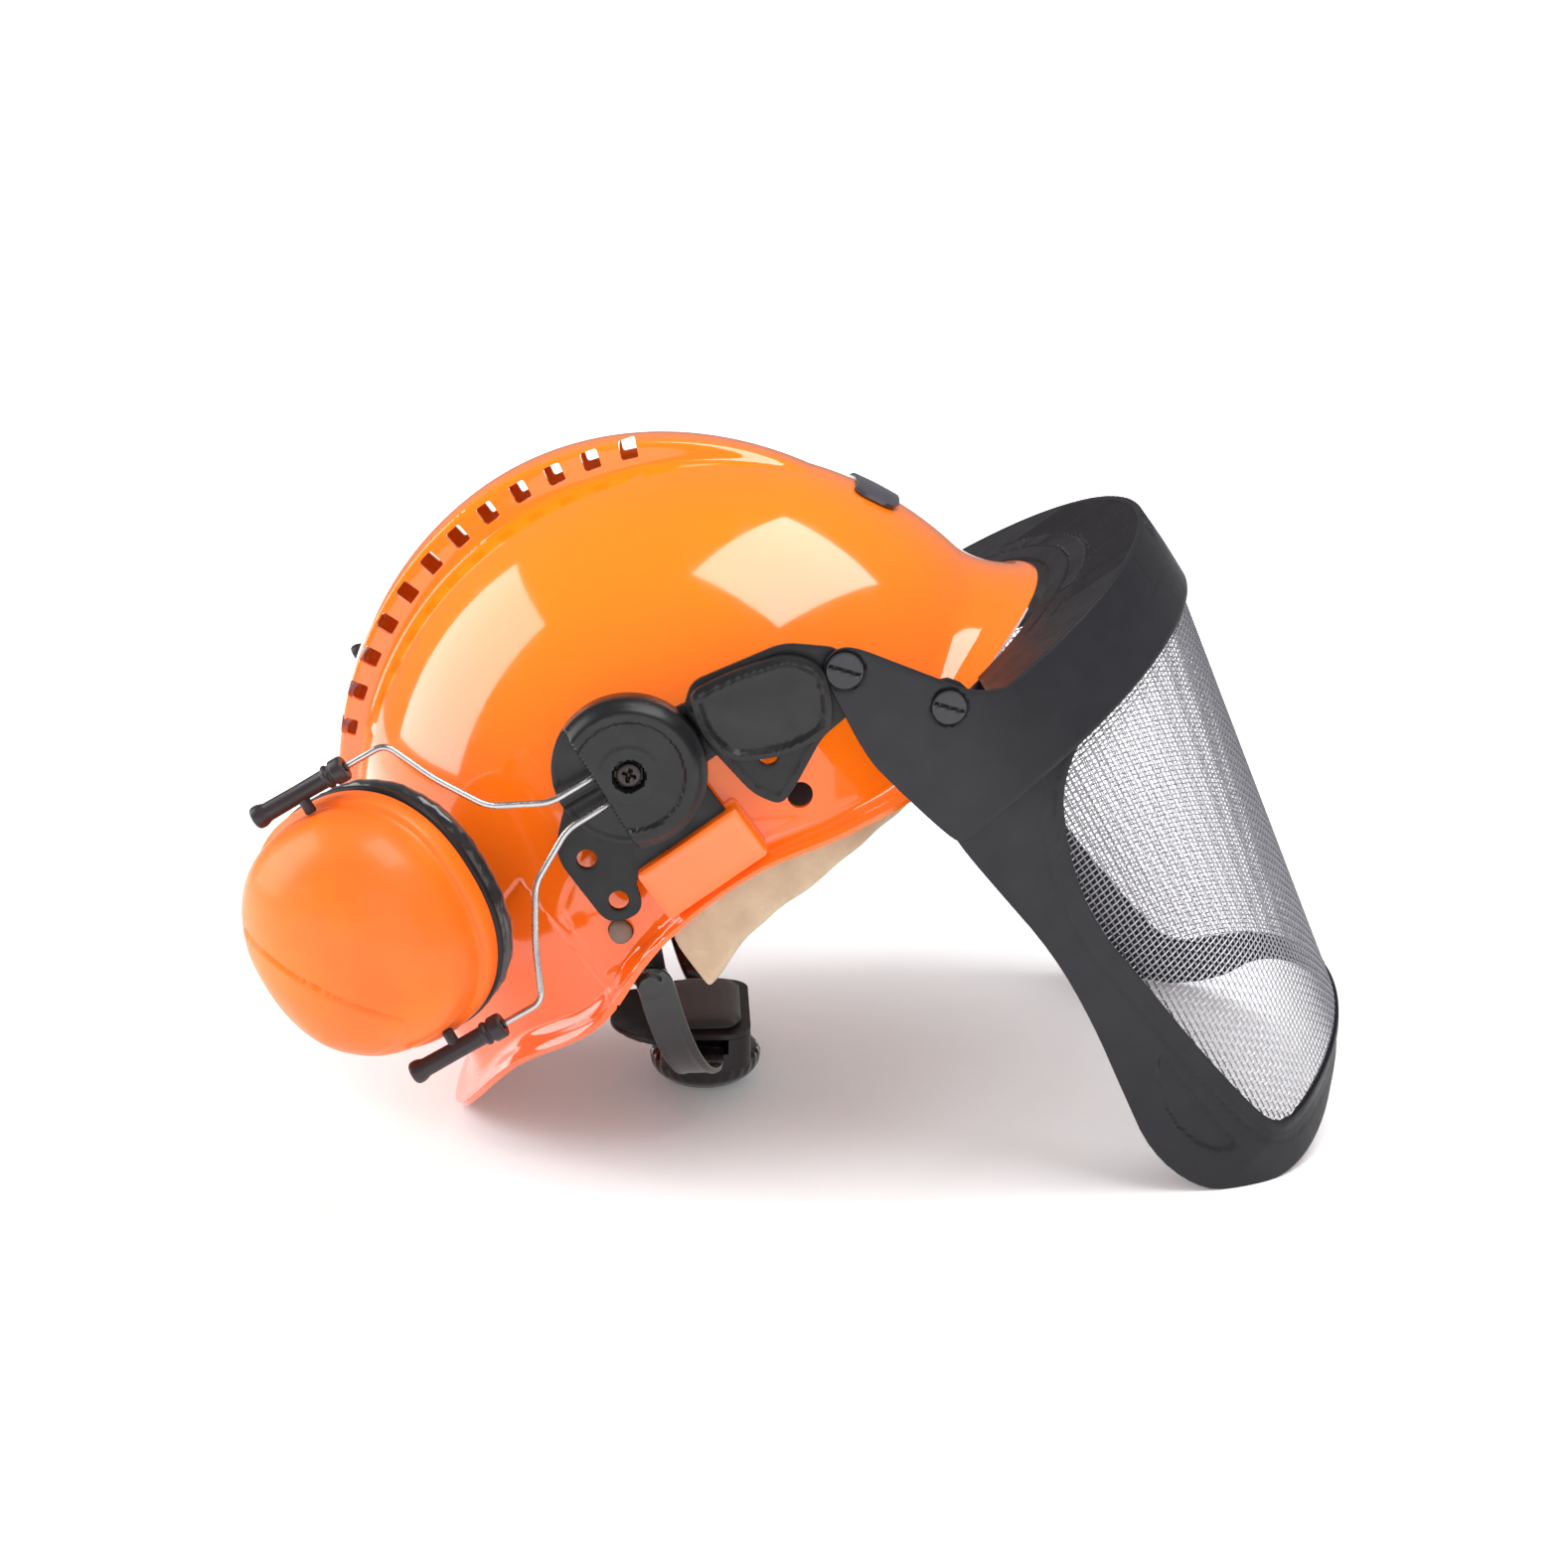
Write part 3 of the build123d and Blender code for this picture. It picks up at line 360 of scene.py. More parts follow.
def moulding(name, loops, place, thick, material, body, spacing=2.0, relief=None, edge=0.5,
             matrix=Matrix.Identity(4), sharp=32, node=None):
    """A moulded sheet with rounded edges. place(s, t, depth) gives points; relief(s, t) raises the outside."""
    outlines = []
    for number, loop in enumerate(loops):
        loop = even_loop(np.asarray(loop, float), spacing)
        if (area(loop) > 0) != (number == 0):
            loop = loop[::-1]
        outlines.append(loop)
    flat, triangles = fill([inset(loop, edge) for loop in outlines], spacing)
    count = len(flat)
    rise = relief(flat[:, 0], flat[:, 1]) if relief else np.zeros(count)
    verts = [place(flat[:, 0], flat[:, 1], -rise), place(flat[:, 0], flat[:, 1], np.full(count, float(thick)))]
    faces = [tuple(t) for t in triangles] + [tuple(t[::-1] + count) for t in triangles]
    base = 2 * count
    tree = flat_tree(flat)
    for loop in outlines:
        first = nearest(tree, inset(loop, edge), 1)
        lift = relief(loop[:, 0], loop[:, 1]) if relief else np.zeros(len(loop))
        under = np.full(len(loop), float(thick))
        rows = [first]
        for share, depth in ((ROUNDING, edge * ROUNDING - lift), (0, edge - lift),
                             (0, under - edge), (ROUNDING, under - edge * ROUNDING)):
            ring = inset(loop, edge * share)
            verts.append(place(ring[:, 0], ring[:, 1], depth))
            rows.append(list(range(base, base + len(loop))))
            base += len(loop)
        rows.append([i + count for i in first])
        for above, below in zip(rows, rows[1:]):
            for i in range(len(loop)):
                j = (i + 1) % len(loop)
                quad = [above[i], below[i], below[j], above[j]]
                if len(set(quad)) > 2:
                    faces.append(tuple(dict.fromkeys(quad)))
    return piece(name, np.concatenate(verts), faces, material, body, matrix, sharp, node)


def flat_place(out):
    """Places a side plate whose outside lies at the given distance out."""
    return lambda s, t, depth: np.stack([s, t, out - depth], 1)


def tube(name, path, radius, sides, corner, material, body, matrix, node):
    """A round wire along a polyline with rounded bends and closed ends."""
    points = []
    for p in round_profile(path, corner, 6):
        if not points or (p - points[-1]).length > 0.05:
            points.append(p)
    angles = np.linspace(0, 2 * math.pi, sides, endpoint=False)
    side = (points[1] - points[0]).normalized().orthogonal().normalized()
    rings = []
    for i, p in enumerate(points):
        a, b = points[max(i - 1, 0)], points[min(i + 1, len(points) - 1)]
        along = (b - a).normalized()
        side = (side - along * side.dot(along)).normalized()
        other = along.cross(side)
        shares = (1,) if 0 < i < len(points) - 1 else ((0.6, 1) if i == 0 else (1, 0.6))
        for share in shares:
            shift = along * radius * (1 - share) * (-1 if i == 0 else 1)
            rings += [p + shift + (side * math.cos(t) + other * math.sin(t)) * radius * share for t in angles]
    rows = len(rings) // sides
    verts, faces = capped([v[:] for v in rings], grid_faces(rows, sides), rows, sides)
    return piece(name, verts, faces, material, body, matrix, 60, node=node)


# ---------------------------------------------------------------- materials
class Tree:
    """A node tree, with short ways to add the nodes that several materials need."""

    def __init__(self, tree):
        self.nodes, self.links = tree.nodes, tree.links

    def feed(self, node, inputs):
        """Sets each input of a node to a value, or links it where the value is another node's output."""
        for key, value in inputs.items():
            if isinstance(value, bpy.types.NodeSocket):
                self.links.new(value, node.inputs[key])
            else:
                node.inputs[key].default_value = value

    def add(self, kind, inputs, output=0, **settings):
        node = self.nodes.new("ShaderNode" + kind)
        for key, value in settings.items():
            setattr(node, key, value)
        self.feed(node, inputs)
        return node.outputs[output]

    def remap(self, value, low, high, to_low, to_high):
        return self.add("MapRange", {"Value": value, "From Min": low, "From Max": high, "To Min": to_low,
                                     "To Max": to_high}, "Result")

    def blend(self, factor, *colours):
        a, b = ((*colour, 1) if isinstance(colour, tuple) else colour for colour in colours)
        return self.add("Mix", {0: factor, 6: a, 7: b}, 2, data_type="RGBA")

    def combine(self, operation, a, b):
        return self.add("Math", {0: a, 1: b}, operation=operation)


class Shader(Tree):
    """A new material with its Principled shader, and object coordinates in mm."""

    def __init__(self, name):
        self.material = bpy.data.materials.new(name)
        self.material.use_nodes = True
        super().__init__(self.material.node_tree)
        self.bsdf = self.nodes["Principled BSDF"]
        where = self.nodes.new("ShaderNodeTexCoord").outputs["Object"]
        self.where = self.add("VectorMath", {0: where, "Scale": 1000}, operation="SCALE")

    def noise(self, size, detail=4, roughness=0.55):
        """Noise whose blotches are about size mm across."""
        return self.add("TexNoise", {"Scale": 1 / size, "Detail": detail, "Roughness": roughness,
                                     "Vector": self.where}, "Fac")

    def bump(self, height, depth):
        """Bump of the given depth in mm; chains onto an earlier one."""
        normal = self.bsdf.inputs["Normal"]
        inputs = {"Strength": 1, "Distance": depth / 1000, "Height": height}
        if normal.links:
            inputs["Normal"] = normal.links[0].from_socket
        self.links.new(self.add("Bump", inputs), normal)

    def finish(self, inputs):
        self.feed(self.bsdf, inputs)
        return self.material


def plastic(name, colour, other, roughness, grain=0.3, grain_depth=0.02, coat=0.0, blotch=40, wear=0.25):
    """Moulded plastic: slow colour drift, fine grain, rubbed edges and uneven polish."""
    new = Shader(name)
    mixed = new.blend(new.remap(new.noise(blotch), 0.35, 0.65, 0, 1), colour, other)
    edges = new.remap(new.add("NewGeometry", {}, "Pointiness"), 0.52, 0.60, 0, wear)
    rubbed = tuple(min(1, c * 1.5 + 0.012) for c in colour)
    polish = new.remap(new.noise(blotch / 5, 6), 0.3, 0.7, max(0.02, roughness - 0.08), roughness + 0.08)
    new.bump(new.noise(grain, 2), grain_depth)
    return new.finish({"Base Color": new.blend(edges, mixed, rubbed), "Roughness": polish, "Coat Weight": coat,
                       "Coat Roughness": 0.04, "Specular IOR Level": 0.32})


def orange_shell():
    """Glossy orange with painted light: lighter and warmer towards the crown and redder near the rim, as light from
    above and through the plastic would make it; faint orange peel and hairline scratches.
    """
    new = Shader("shell_orange")
    # painted light: the base colour grows lighter and warmer with height, from the rim up to the crown
    height = new.remap(new.add("SeparateXYZ", {0: new.where}, "Z"), 60, 235, 0, 1)
    base = new.blend(height, (0.93, 0.105, 0.006), (1.0, 0.205, 0.004))
    drift = new.remap(new.noise(60), 0.35, 0.65, 0, 0.25)
    stretched = new.add("Mapping", {"Scale": (0.05, 0.6, 3.0), "Rotation": (0.6, 0.3, 0.2), "Vector": new.where})
    new.bump(new.noise(5, 1), 0.012)
    new.bump(new.add("TexNoise", {"Vector": stretched, "Scale": 0.5}, "Fac"), 0.004)
    return new.finish({
        "Base Color": new.blend(drift, base, (1.0, 0.16, 0.012)),
        "Roughness": new.remap(new.noise(9, 8, 0.65), 0.35, 0.75, 0.07, 0.17),
        "Coat Weight": 0.7, "Coat Roughness": 0.03,
        "Subsurface Weight": 0.12, "Subsurface Radius": (0.006, 0.002, 0.001), "Subsurface Scale": 0.6})


def leather(name, colour, dark, roughness, pore, depth, coat=0.0):
    """Leather-like skin: pores from a cell texture, creases and uneven sheen."""
    new = Shader(name)
    cells = new.add("TexVoronoi", {"Scale": 1 / pore, "Vector": new.where}, "Distance", feature="DISTANCE_TO_EDGE")
    new.bump(new.remap(cells, 0, 0.25, 0, 1), depth)
    new.bump(new.noise(3, 5), depth * 2)
    return new.finish({
        "Base Color": new.blend(new.remap(new.noise(14, 6), 0.35, 0.65, 0, 1), colour, dark),
        "Roughness": new.remap(new.noise(6), 0.3, 0.7, roughness - 0.08, roughness + 0.1),
        "Coat Weight": coat, "Sheen Weight": 0.15})


def weave(name, colour, light, thread):
    """Woven cloth or webbing: two crossing thread waves that set colour and relief; the colour is a painted sheen,
    lighter on the raised crossings.
    """
    new = Shader(name)
    waves = [new.add("TexWave", {"Scale": 0.31 / thread, "Distortion": 0.6, "Detail": 1, "Vector": new.where}, "Fac",
                     bands_direction=axis) for axis in "XZ"]
    crossing = new.combine("MAXIMUM", *waves)
    new.bump(new.combine("MULTIPLY", crossing, new.noise(thread * 0.5)), thread * 0.25)
    # painted sheen: the lighter colour is laid on where the crossing threads rise
    return new.finish({"Base Color": new.blend(new.remap(crossing, 0, 1, 0, 0.6), colour, light),
                       "Roughness": 0.85, "Sheen Weight": 0.35})


def metal(name, colour, roughness):
    """Steel with drawn lines and faint tarnish."""
    new = Shader(name)
    tarnish = new.remap(new.noise(6, 6), 0.4, 0.7, 0, 0.35)
    new.bump(new.noise(0.25, 3), 0.008)
    return new.finish({
        "Base Color": new.blend(tarnish, colour, tuple(c * 0.72 for c in colour)), "Metallic": 1,
        "Roughness": new.remap(new.noise(1.2), 0.3, 0.7, roughness - 0.06, roughness + 0.1)})


def open_foam(name, colour):
    """Foam of open cells about a millimetre across, with painted shade darkening their depths."""
    new = Shader(name)
    depth = new.remap(new.add("TexVoronoi", {"Scale": 1 / 1.1, "Vector": new.where}, "Distance"), 0, 0.8, 0, 1)
    new.bump(depth, 0.5)
    # painted shade: the colour falls to a quarter where the cells sink
    return new.finish({"Base Color": new.blend(depth, tuple(c * 0.25 for c in colour), colour), "Roughness": 0.95})


ORANGE = orange_shell()
CUP_ORANGE = plastic("cup_orange", (1.0, 0.165, 0.008), (0.98, 0.13, 0.008), 0.40, 0.35, 0.018, 0.1, 45, 0.15)
BLACK = plastic("black_plastic", (0.006, 0.006, 0.007), (0.010, 0.0095, 0.011), 0.42, 0.4, 0.03)
CAP_BLACK = plastic("cap_black", (0.006, 0.006, 0.007), (0.010, 0.010, 0.011), 0.36, 0.35, 0.02, 0.06)
CHARCOAL = plastic("charcoal_plastic", (0.0110, 0.0100, 0.0132), (0.0150, 0.0138, 0.0175), 0.46, 0.35, 0.03,
                   blotch=55)
SCREW_DARK = plastic("screw_dark", (0.014, 0.014, 0.016), (0.02, 0.02, 0.022), 0.3, 0.25, 0.02, 0.2)
SLEEVE_BLACK = plastic("sleeve_black", (0.022, 0.016, 0.018), (0.03, 0.022, 0.024), 0.38, 0.3, 0.03)
PLUG = plastic("plug_brown", (0.16, 0.105, 0.08), (0.2, 0.13, 0.1), 0.6, 0.3, 0.03)
BADGE = plastic("badge_dark", (0.03, 0.025, 0.04), (0.05, 0.045, 0.06), 0.25, 0.5, 0.01, 0.4)
STRAP = plastic("strap_black", (0.013, 0.012, 0.013), (0.02, 0.018, 0.019), 0.36, 0.4, 0.03)
KNOB = plastic("knob_black", (0.009, 0.009, 0.01), (0.014, 0.013, 0.014), 0.16, 0.6, 0.008, 0.5)
WIRE = metal("wire_steel", (0.50, 0.49, 0.49), 0.24)
SCREW_STEEL = metal("screw_steel", (0.055, 0.048, 0.044), 0.36)
MESH_WIRE = metal("mesh_steel", (0.34, 0.34, 0.37), 0.42)
SUEDE = leather("sweat_beige", (0.62, 0.47, 0.32), (0.52, 0.38, 0.25), 0.72, 0.8, 0.05)
CUSHION = leather("cushion_black", (0.010, 0.009, 0.010), (0.016, 0.014, 0.015), 0.2, 1.1, 0.012, 0.5)
FOAM = open_foam("foam_grey", (0.05, 0.05, 0.055))
WEBBING = weave("webbing_black", (0.012, 0.012, 0.013), (0.04, 0.04, 0.042), 0.9)
PAD = weave("pad_black", (0.014, 0.014, 0.015), (0.045, 0.045, 0.048), 0.6)


# ---------------------------------------------------------------- the shell
def shell_points(theta, share):
    """The shell's outside at angle theta (0 = wearer's left) and share 0 at the rim to 1 at the crown."""
    cos_t, sin_t = np.cos(theta), np.sin(theta)
    half, front, back, middle = RIM
    reach = np.where(sin_t < 0, front, back)
    dome_x, dome_y = DOME[0] * cos_t, DOME[1] * sin_t
    # how much wider than the dome the rim is in this direction
    a = (dome_x / half) ** 2 + (dome_y / reach) ** 2
    b = -2 * dome_y * middle / reach**2
    c = (middle / reach) ** 2 - 1
    wider = (-b + np.sqrt(b * b - 4 * a * c)) / (2 * a)
    foot = curve_through(RIM_LINE, dome_y * wider)
    low = foot / DOME[2]
    lift = low + (math.pi / 2 - low) * share
    z = np.where(lift > 0, DOME[2] * np.sin(lift), lift * DOME[2])
    k = np.where(lift > 0, np.cos(lift), 1 - 0.03 * np.minimum(lift, 0))
    front_share = np.clip(-sin_t, 0, 1) ** 4
    flare_height = 11 + 14 * front_share + 6 * np.clip(sin_t, 0, 1) ** 6
    s = np.clip((z - foot) / flare_height, 0, 1)
    flare = (wider - 1) * (1 - s) ** (2.1 + 1.2 * (1 - front_share))
    x, y = dome_x * (k + flare), dome_y * (k + flare)
    # the lip: a small rolled bead with a gutter above it
    bead = 0.9 * bell(1.4, 1.8, z - foot) - 0.5 * bell(5.2, 2.5, z - foot) * (1 - front_share)
    out = np.stack([cos_t / DOME[0], sin_t / DOME[1]])
    out /= np.linalg.norm(out, axis=0)
    x, y = x + out[0] * bead, y + out[1] * bead
    return x, y, z


def facet_depth(x, y, z):
    """How deep the shell's side is stepped in: behind the ear, and the low facet at the nape."""
    f = -y
    line = np.interp(f, (-66.5, -58, -52.4, -46.6, -23.3, 0), (20, 23.8, 24.4, 29.3, 41.7, 47))
    behind_ear = smooth(0, 1.6, line - z) * smooth(-24, -27, f) * smooth(-54, -51, f) * smooth(2, 5, z + 8)
    second = smooth(0, 1.6, -56 - (z - 4) * 0.02 - f) * smooth(0, 1.8, 44 + (f + 52) * 0.35 - z)
    return (0.9 * behind_ear + 1.5 * second) * smooth(40, 60, np.abs(x))


def ridge_lift(x, y, z):
    """How far the crown ridge stands out of the dome here, with steep sides and rounded shoulders."""
    angle = np.arctan2(z, y)
    front = y < 0
    long_ridge = np.where(front, RIDGE[0], RIDGE[1])
    ridge = 1 / np.sqrt((np.cos(angle) / long_ridge) ** 2 + (np.sin(angle) / RIDGE[2]) ** 2)
    dome = 1 / np.sqrt((np.cos(angle) / DOME[1]) ** 2 + (np.sin(angle) / DOME[2]) ** 2)
    lift = np.maximum(ridge - dome, 0)
    across = np.abs(x)
    steep = 1 - smooth(11.2, 15.6, across)
    crown = 1 - 0.05 * (np.minimum(across, 11) / 11) ** 2
    low_end = smooth(-34, 8, z + np.where(front, 400, 0))
    return lift * steep * crown * low_end


def build_shell():
    columns, rows = 640, 250
    theta = np.linspace(0, 2 * math.pi, columns, endpoint=False) + 0.0007
    shares = np.linspace(0, 1, rows) ** 1.25
    grid = []
    for share in shares[:-1]:
        x, y, z = shell_points(theta, share)
        points = np.stack([x, y, z], 1)
        normal = np.stack([x / DOME[0] ** 2, y / DOME[1] ** 2, np.maximum(z, 0) / DOME[2] ** 2], 1)
        normal /= np.linalg.norm(normal, axis=1, keepdims=True)
        change = ridge_lift(x, y, z) - facet_depth(x, y, z)
        grid.append(points + normal * change[:, None])
    grid = np.array(grid)
    ahead = np.roll(grid, -1, axis=1) - np.roll(grid, 1, axis=1)
    up = np.gradient(grid, axis=0)
    normal = np.cross(ahead, up)
    normal /= np.maximum(np.linalg.norm(normal, axis=2, keepdims=True), 1e-9)
    inner = grid - normal * WALL
    top = np.array([0, 0, RIDGE[2]])
    count = (rows - 1) * columns
    verts = np.vstack([grid.reshape(-1, 3), inner.reshape(-1, 3), top, top - (0, 0, WALL)])
    faces = grid_faces(rows - 1, columns)
    faces += [tuple(i + count for i in reversed(face)) for face in faces]
    for c in range(columns):
        d = (c + 1) % columns
        faces.append((d, c, c + count, d + count))
        last = (rows - 2) * columns
        faces.append((last + c, last + d, 2 * count))
        faces.append((last + d + count, last + c + count, 2 * count + 1))
    return piece("shell_moulding", verts, faces, ORANGE, "helmet", sharp=50, node="shell")


def cut(thing, blocks):
    """Cuts closed blocks out of a mesh: each is (2D outline, place, low, high)."""
    verts, faces = [], []
    for loop, matrix, low, high in blocks:
        base, count = len(verts), len(loop)
        if (area(np.array(loop)) > 0) != (matrix.to_3x3().determinant() > 0):
            loop = loop[::-1]
        for level in (low, high):
            verts += [matrix @ Vector((p[0], p[1], level)) for p in loop]
        faces += [(base + i, base + (i + 1) % count, base + count + (i + 1) % count, base + count + i)
                  for i in range(count)]
        faces.append(tuple(reversed(range(base, base + count))))
        faces.append(tuple(range(base + count, base + 2 * count)))
    tool = piece("cutting_tool", [v[:] for v in verts], faces, ORANGE, None)
    add_modifier(thing, "BOOLEAN", operation="DIFFERENCE", object=tool, solver="MANIFOLD")
    apply_modifiers(thing)
    bpy.data.objects.remove(tool)


def rounded_square(width, height, radius):
    return round_loop([(-width / 2, -height / 2), (width / 2, -height / 2),
                       (width / 2, height / 2), (-width / 2, height / 2)], radius, 4)


def shell_openings():
    """Vents through the ridge's walls, the two holes on each side and the square holes at the nape."""
    blocks = []
    for index in range(VENT_COUNT):
        angle = VENT_FIRST + index * VENT_STEP
        y = (DOME[1] + VENT_LIFT + 2.2) * math.sin(math.radians(angle))
        z = (DOME[2] + VENT_LIFT + 2.2) * math.cos(math.radians(angle))
        place = side_matrix(1) @ move(-y, z, 0) @ turn("Z", angle)
        blocks.append((rounded_square(VENT * 0.92, VENT, 1.0), place, -20, 20))
    for hand in (1, -1):
        for centre in (CHIN_HOLE, PLUG_HOLE):
            blocks.append((circle(centre, HOLE_RADIUS, 28), side_matrix(hand), 80, 130))
        blocks.append((rounded_square(8, 7, 1) + (-109.8, -8.8), side_matrix(hand), 50, 100))
    return blocks


def build_shell_pieces():
    shell = build_shell()
    cut(shell, shell_openings())
    shell.data.shade_smooth()
    shell.data.set_sharp_from_angle(angle=math.radians(42))
    for hand, mirror in HANDS:
        loop = round_loop([(-18, 4.0, 2), (24, 4.0, 2), (24, 24.5, 2.5), (-18, 24.5, 2.5)], 2.0)
        moulding(f"pocket_{hand}", [loop], flat_place(116), 14, ORANGE, "helmet", 2.5,
                 lambda s, t: 0.05 * np.sin(s * 0.3), 1.2, mirror @ side_matrix(1))
    # sockets inside the shell that the harness clips push into
    outer = round_loop([(-7, 14), (5, 14), (3, 30), (-7, 30)], 1.5)
    for number, (x, y) in enumerate(((-66, -88), (66, -88), (-62, 86), (62, 86))):
        direction = math.degrees(math.atan2(y, x))
        place = turn("Z", direction) @ move(math.hypot(x, y) * 0.90, 0, 0) @ turn("X", 90)
        moulding(f"clip_socket_{number}", [outer], flat_place(9), 18, ORANGE, "helmet", 3, None, 0.8, place)


# ---------------------------------------------------------------- ear muffs
def oval(scale, steps):
    """A rounded-rectangle oval outline, fuller than an ellipse."""
    angles = np.linspace(0, 2 * math.pi, steps, endpoint=False)
    c, s = np.cos(angles), np.sin(angles)
    power = 2 / 2.25
    return np.stack([scale[0] * np.sign(c) * np.abs(c) ** power,
                     scale[1] * np.sign(s) * np.abs(s) ** power], 1)


def ear_cup(hand, place):
    """The domed cup: a flat-sided rim band with a lip, a soft step and a raised oval on the crown."""
    steps = 200
    rim = CUP_RIM
    dome = [(math.sin(a) ** 0.96 * 0.94, CUP[2] - 28.5 + 28.5 * math.cos(a) ** 0.88)
            for a in np.linspace(0.02, math.pi / 2, 46)]
    band = [(0.941, rim + 11.5), (0.944, rim + 9.8), (0.955, rim + 9.1), (0.988, rim + 8.7), (1.0, rim + 8.0),
            (1.004, rim + 4.5), (1.004, rim + 1.2), (0.996, rim + 0.3), (0.985, rim), (0.945, rim), (0.935, rim + 1),
            (0.93, rim + 8), (0.85, rim + 14), (0.6, rim + 19), (0.02, rim + 21)]
    profile = dome + band
    outline = oval((1, 1), steps)
    verts = np.concatenate([
        np.concatenate([outline * share * np.array(CUP[:2]), np.full((steps, 1), z)], 1) for share, z in profile])
    count = len(dome) * steps
    x, y = verts[:count, 0], verts[:count, 1]
    # a shallow raised panel: a straight seam across and a curved one along the back
    straight = x * 0.80 + y * 0.60 + 9
    curved = np.hypot((x + 6) / 30, (y + 2) / 36) - 1
    panel = smooth(0.6, -0.6, straight) * smooth(0.02, -0.02, curved)
    seam = bell(0, 1.2, straight) * (curved < 0) + bell(0, 0.035, curved) * (straight < 0)
    top = smooth(-2, 6, verts[:count, 2])
    verts[:count, 2] += (0.8 * panel - 0.7 * np.clip(seam, 0, 1)) * top
    verts, faces = capped(verts, grid_faces(len(profile), steps), len(profile), steps)
    piece(f"ear_cup_body_{hand}", verts, [face[::-1] for face in faces], CUP_ORANGE, f"muff_{hand}", place, 40,
          node=f"ear_cup_{hand}")


def ring_body(name, profile, material, hand, place, node=None):
    """A closed oval ring round the ear from a closed profile of (growth beyond the cup's half size, z)."""
    steps = 128
    outline = oval((1, 1), steps)
    verts = np.concatenate([
        np.concatenate([outline * (np.array(CUP[:2]) + grow), np.full((steps, 1), z)], 1) for grow, z in profile])
    rows = len(profile)
    faces = []
    for r in range(rows):
        for c in range(steps):
            d = (c + 1) % steps
            a, b = r * steps, ((r + 1) % rows) * steps
            faces.append((a + c, b + c, b + d, a + d))
    return piece(name, verts, faces, material, f"muff_{hand}", place, 50, node=node)


def cushion_start(hand, place):
    """The ear cushion before it is blown up: a ring of padded skin, a little smaller than its room."""
    top, foot = CUP_RIM - 2.2, CUP_RIM - 15.6
    middle, half = (top + foot) / 2, (top - foot) / 2
    profile = []
    for a in np.linspace(0, 2 * math.pi, 28, endpoint=False):
        c, s = math.cos(a), math.sin(a)
        profile.append((-8.4 + 9.6 * math.copysign(abs(c) ** 0.8, c),
                        middle + (half - 0.8) * math.copysign(abs(s) ** 0.8, s)))
    return ring_body(f"cushion_{hand}", profile, CUSHION, hand, place, f"ear_cushion_{hand}")


def simulate(thing, cap):
    """Blows a soft piece up as cloth, with no gravity and every point's travel capped, then smooths it once."""
    add_modifier(thing, "REMESH", mode="VOXEL", voxel_size=CLOTH_VOXEL)
    apply_modifiers(thing)
    start = np.array([v.co for v in thing.data.vertices])
    settings = add_modifier(thing, "CLOTH").settings
    for key, value in (("quality", 5), ("mass", 0.25), ("use_pressure", True),
                       ("uniform_pressure_force", CLOTH_PRESSURE), ("tension_stiffness", 12),
                       ("shear_stiffness", 6), ("bending_stiffness", 0.6)):
        setattr(settings, key, value)
    settings.effector_weights.gravity = 0
    for number in range(1, CLOTH_FRAMES + 1):
        bpy.context.scene.frame_set(number)
    apply_modifiers(thing)
    bpy.context.scene.frame_set(1)
    travel = np.array([v.co for v in thing.data.vertices]) - start
    length = np.linalg.norm(travel, axis=1, keepdims=True)
    end = start + travel * np.minimum(1, cap / np.maximum(length, 1e-9))
    thing.data.vertices.foreach_set("co", end.astype(np.float32).ravel())
    add_modifier(thing, "SMOOTH", factor=0.6, iterations=3)
    add_modifier(thing, "SUBSURF", levels=1, render_levels=1)
    apply_modifiers(thing)
    thing.data.shade_smooth()


def tidy_cushion(thing, place):
    """After the simulation: pulls the seam in and keeps the cushion off the cup's plate."""
    matrix = WORLD @ place
    points = mapped(np.array([v.co for v in thing.data.vertices]), matrix.inverted())
    top = CUP_RIM - 3.4
    points[:, 2] = np.minimum(points[:, 2], top)
    angle = np.arctan2(points[:, 1] / CUP[1], points[:, 0] / CUP[0])
    radial = np.hypot(points[:, 0] / CUP[0], points[:, 1] / CUP[1])
    seam = bell(top - 2.2, 1.5, points[:, 2]) * smooth(0.8, 0.95, radial)
    ripple = 0.12 * np.sin(angle * 46) * smooth(0.75, 0.9, radial) * bell(top - 5, 4, points[:, 2])
    shrink = 1 - (0.8 * seam + ripple) / 45
    points[:, 0] *= shrink
    points[:, 1] *= shrink
    thing.data.vertices.foreach_set("co", mapped(points, matrix).astype(np.float32).ravel())
    thing.data.update()


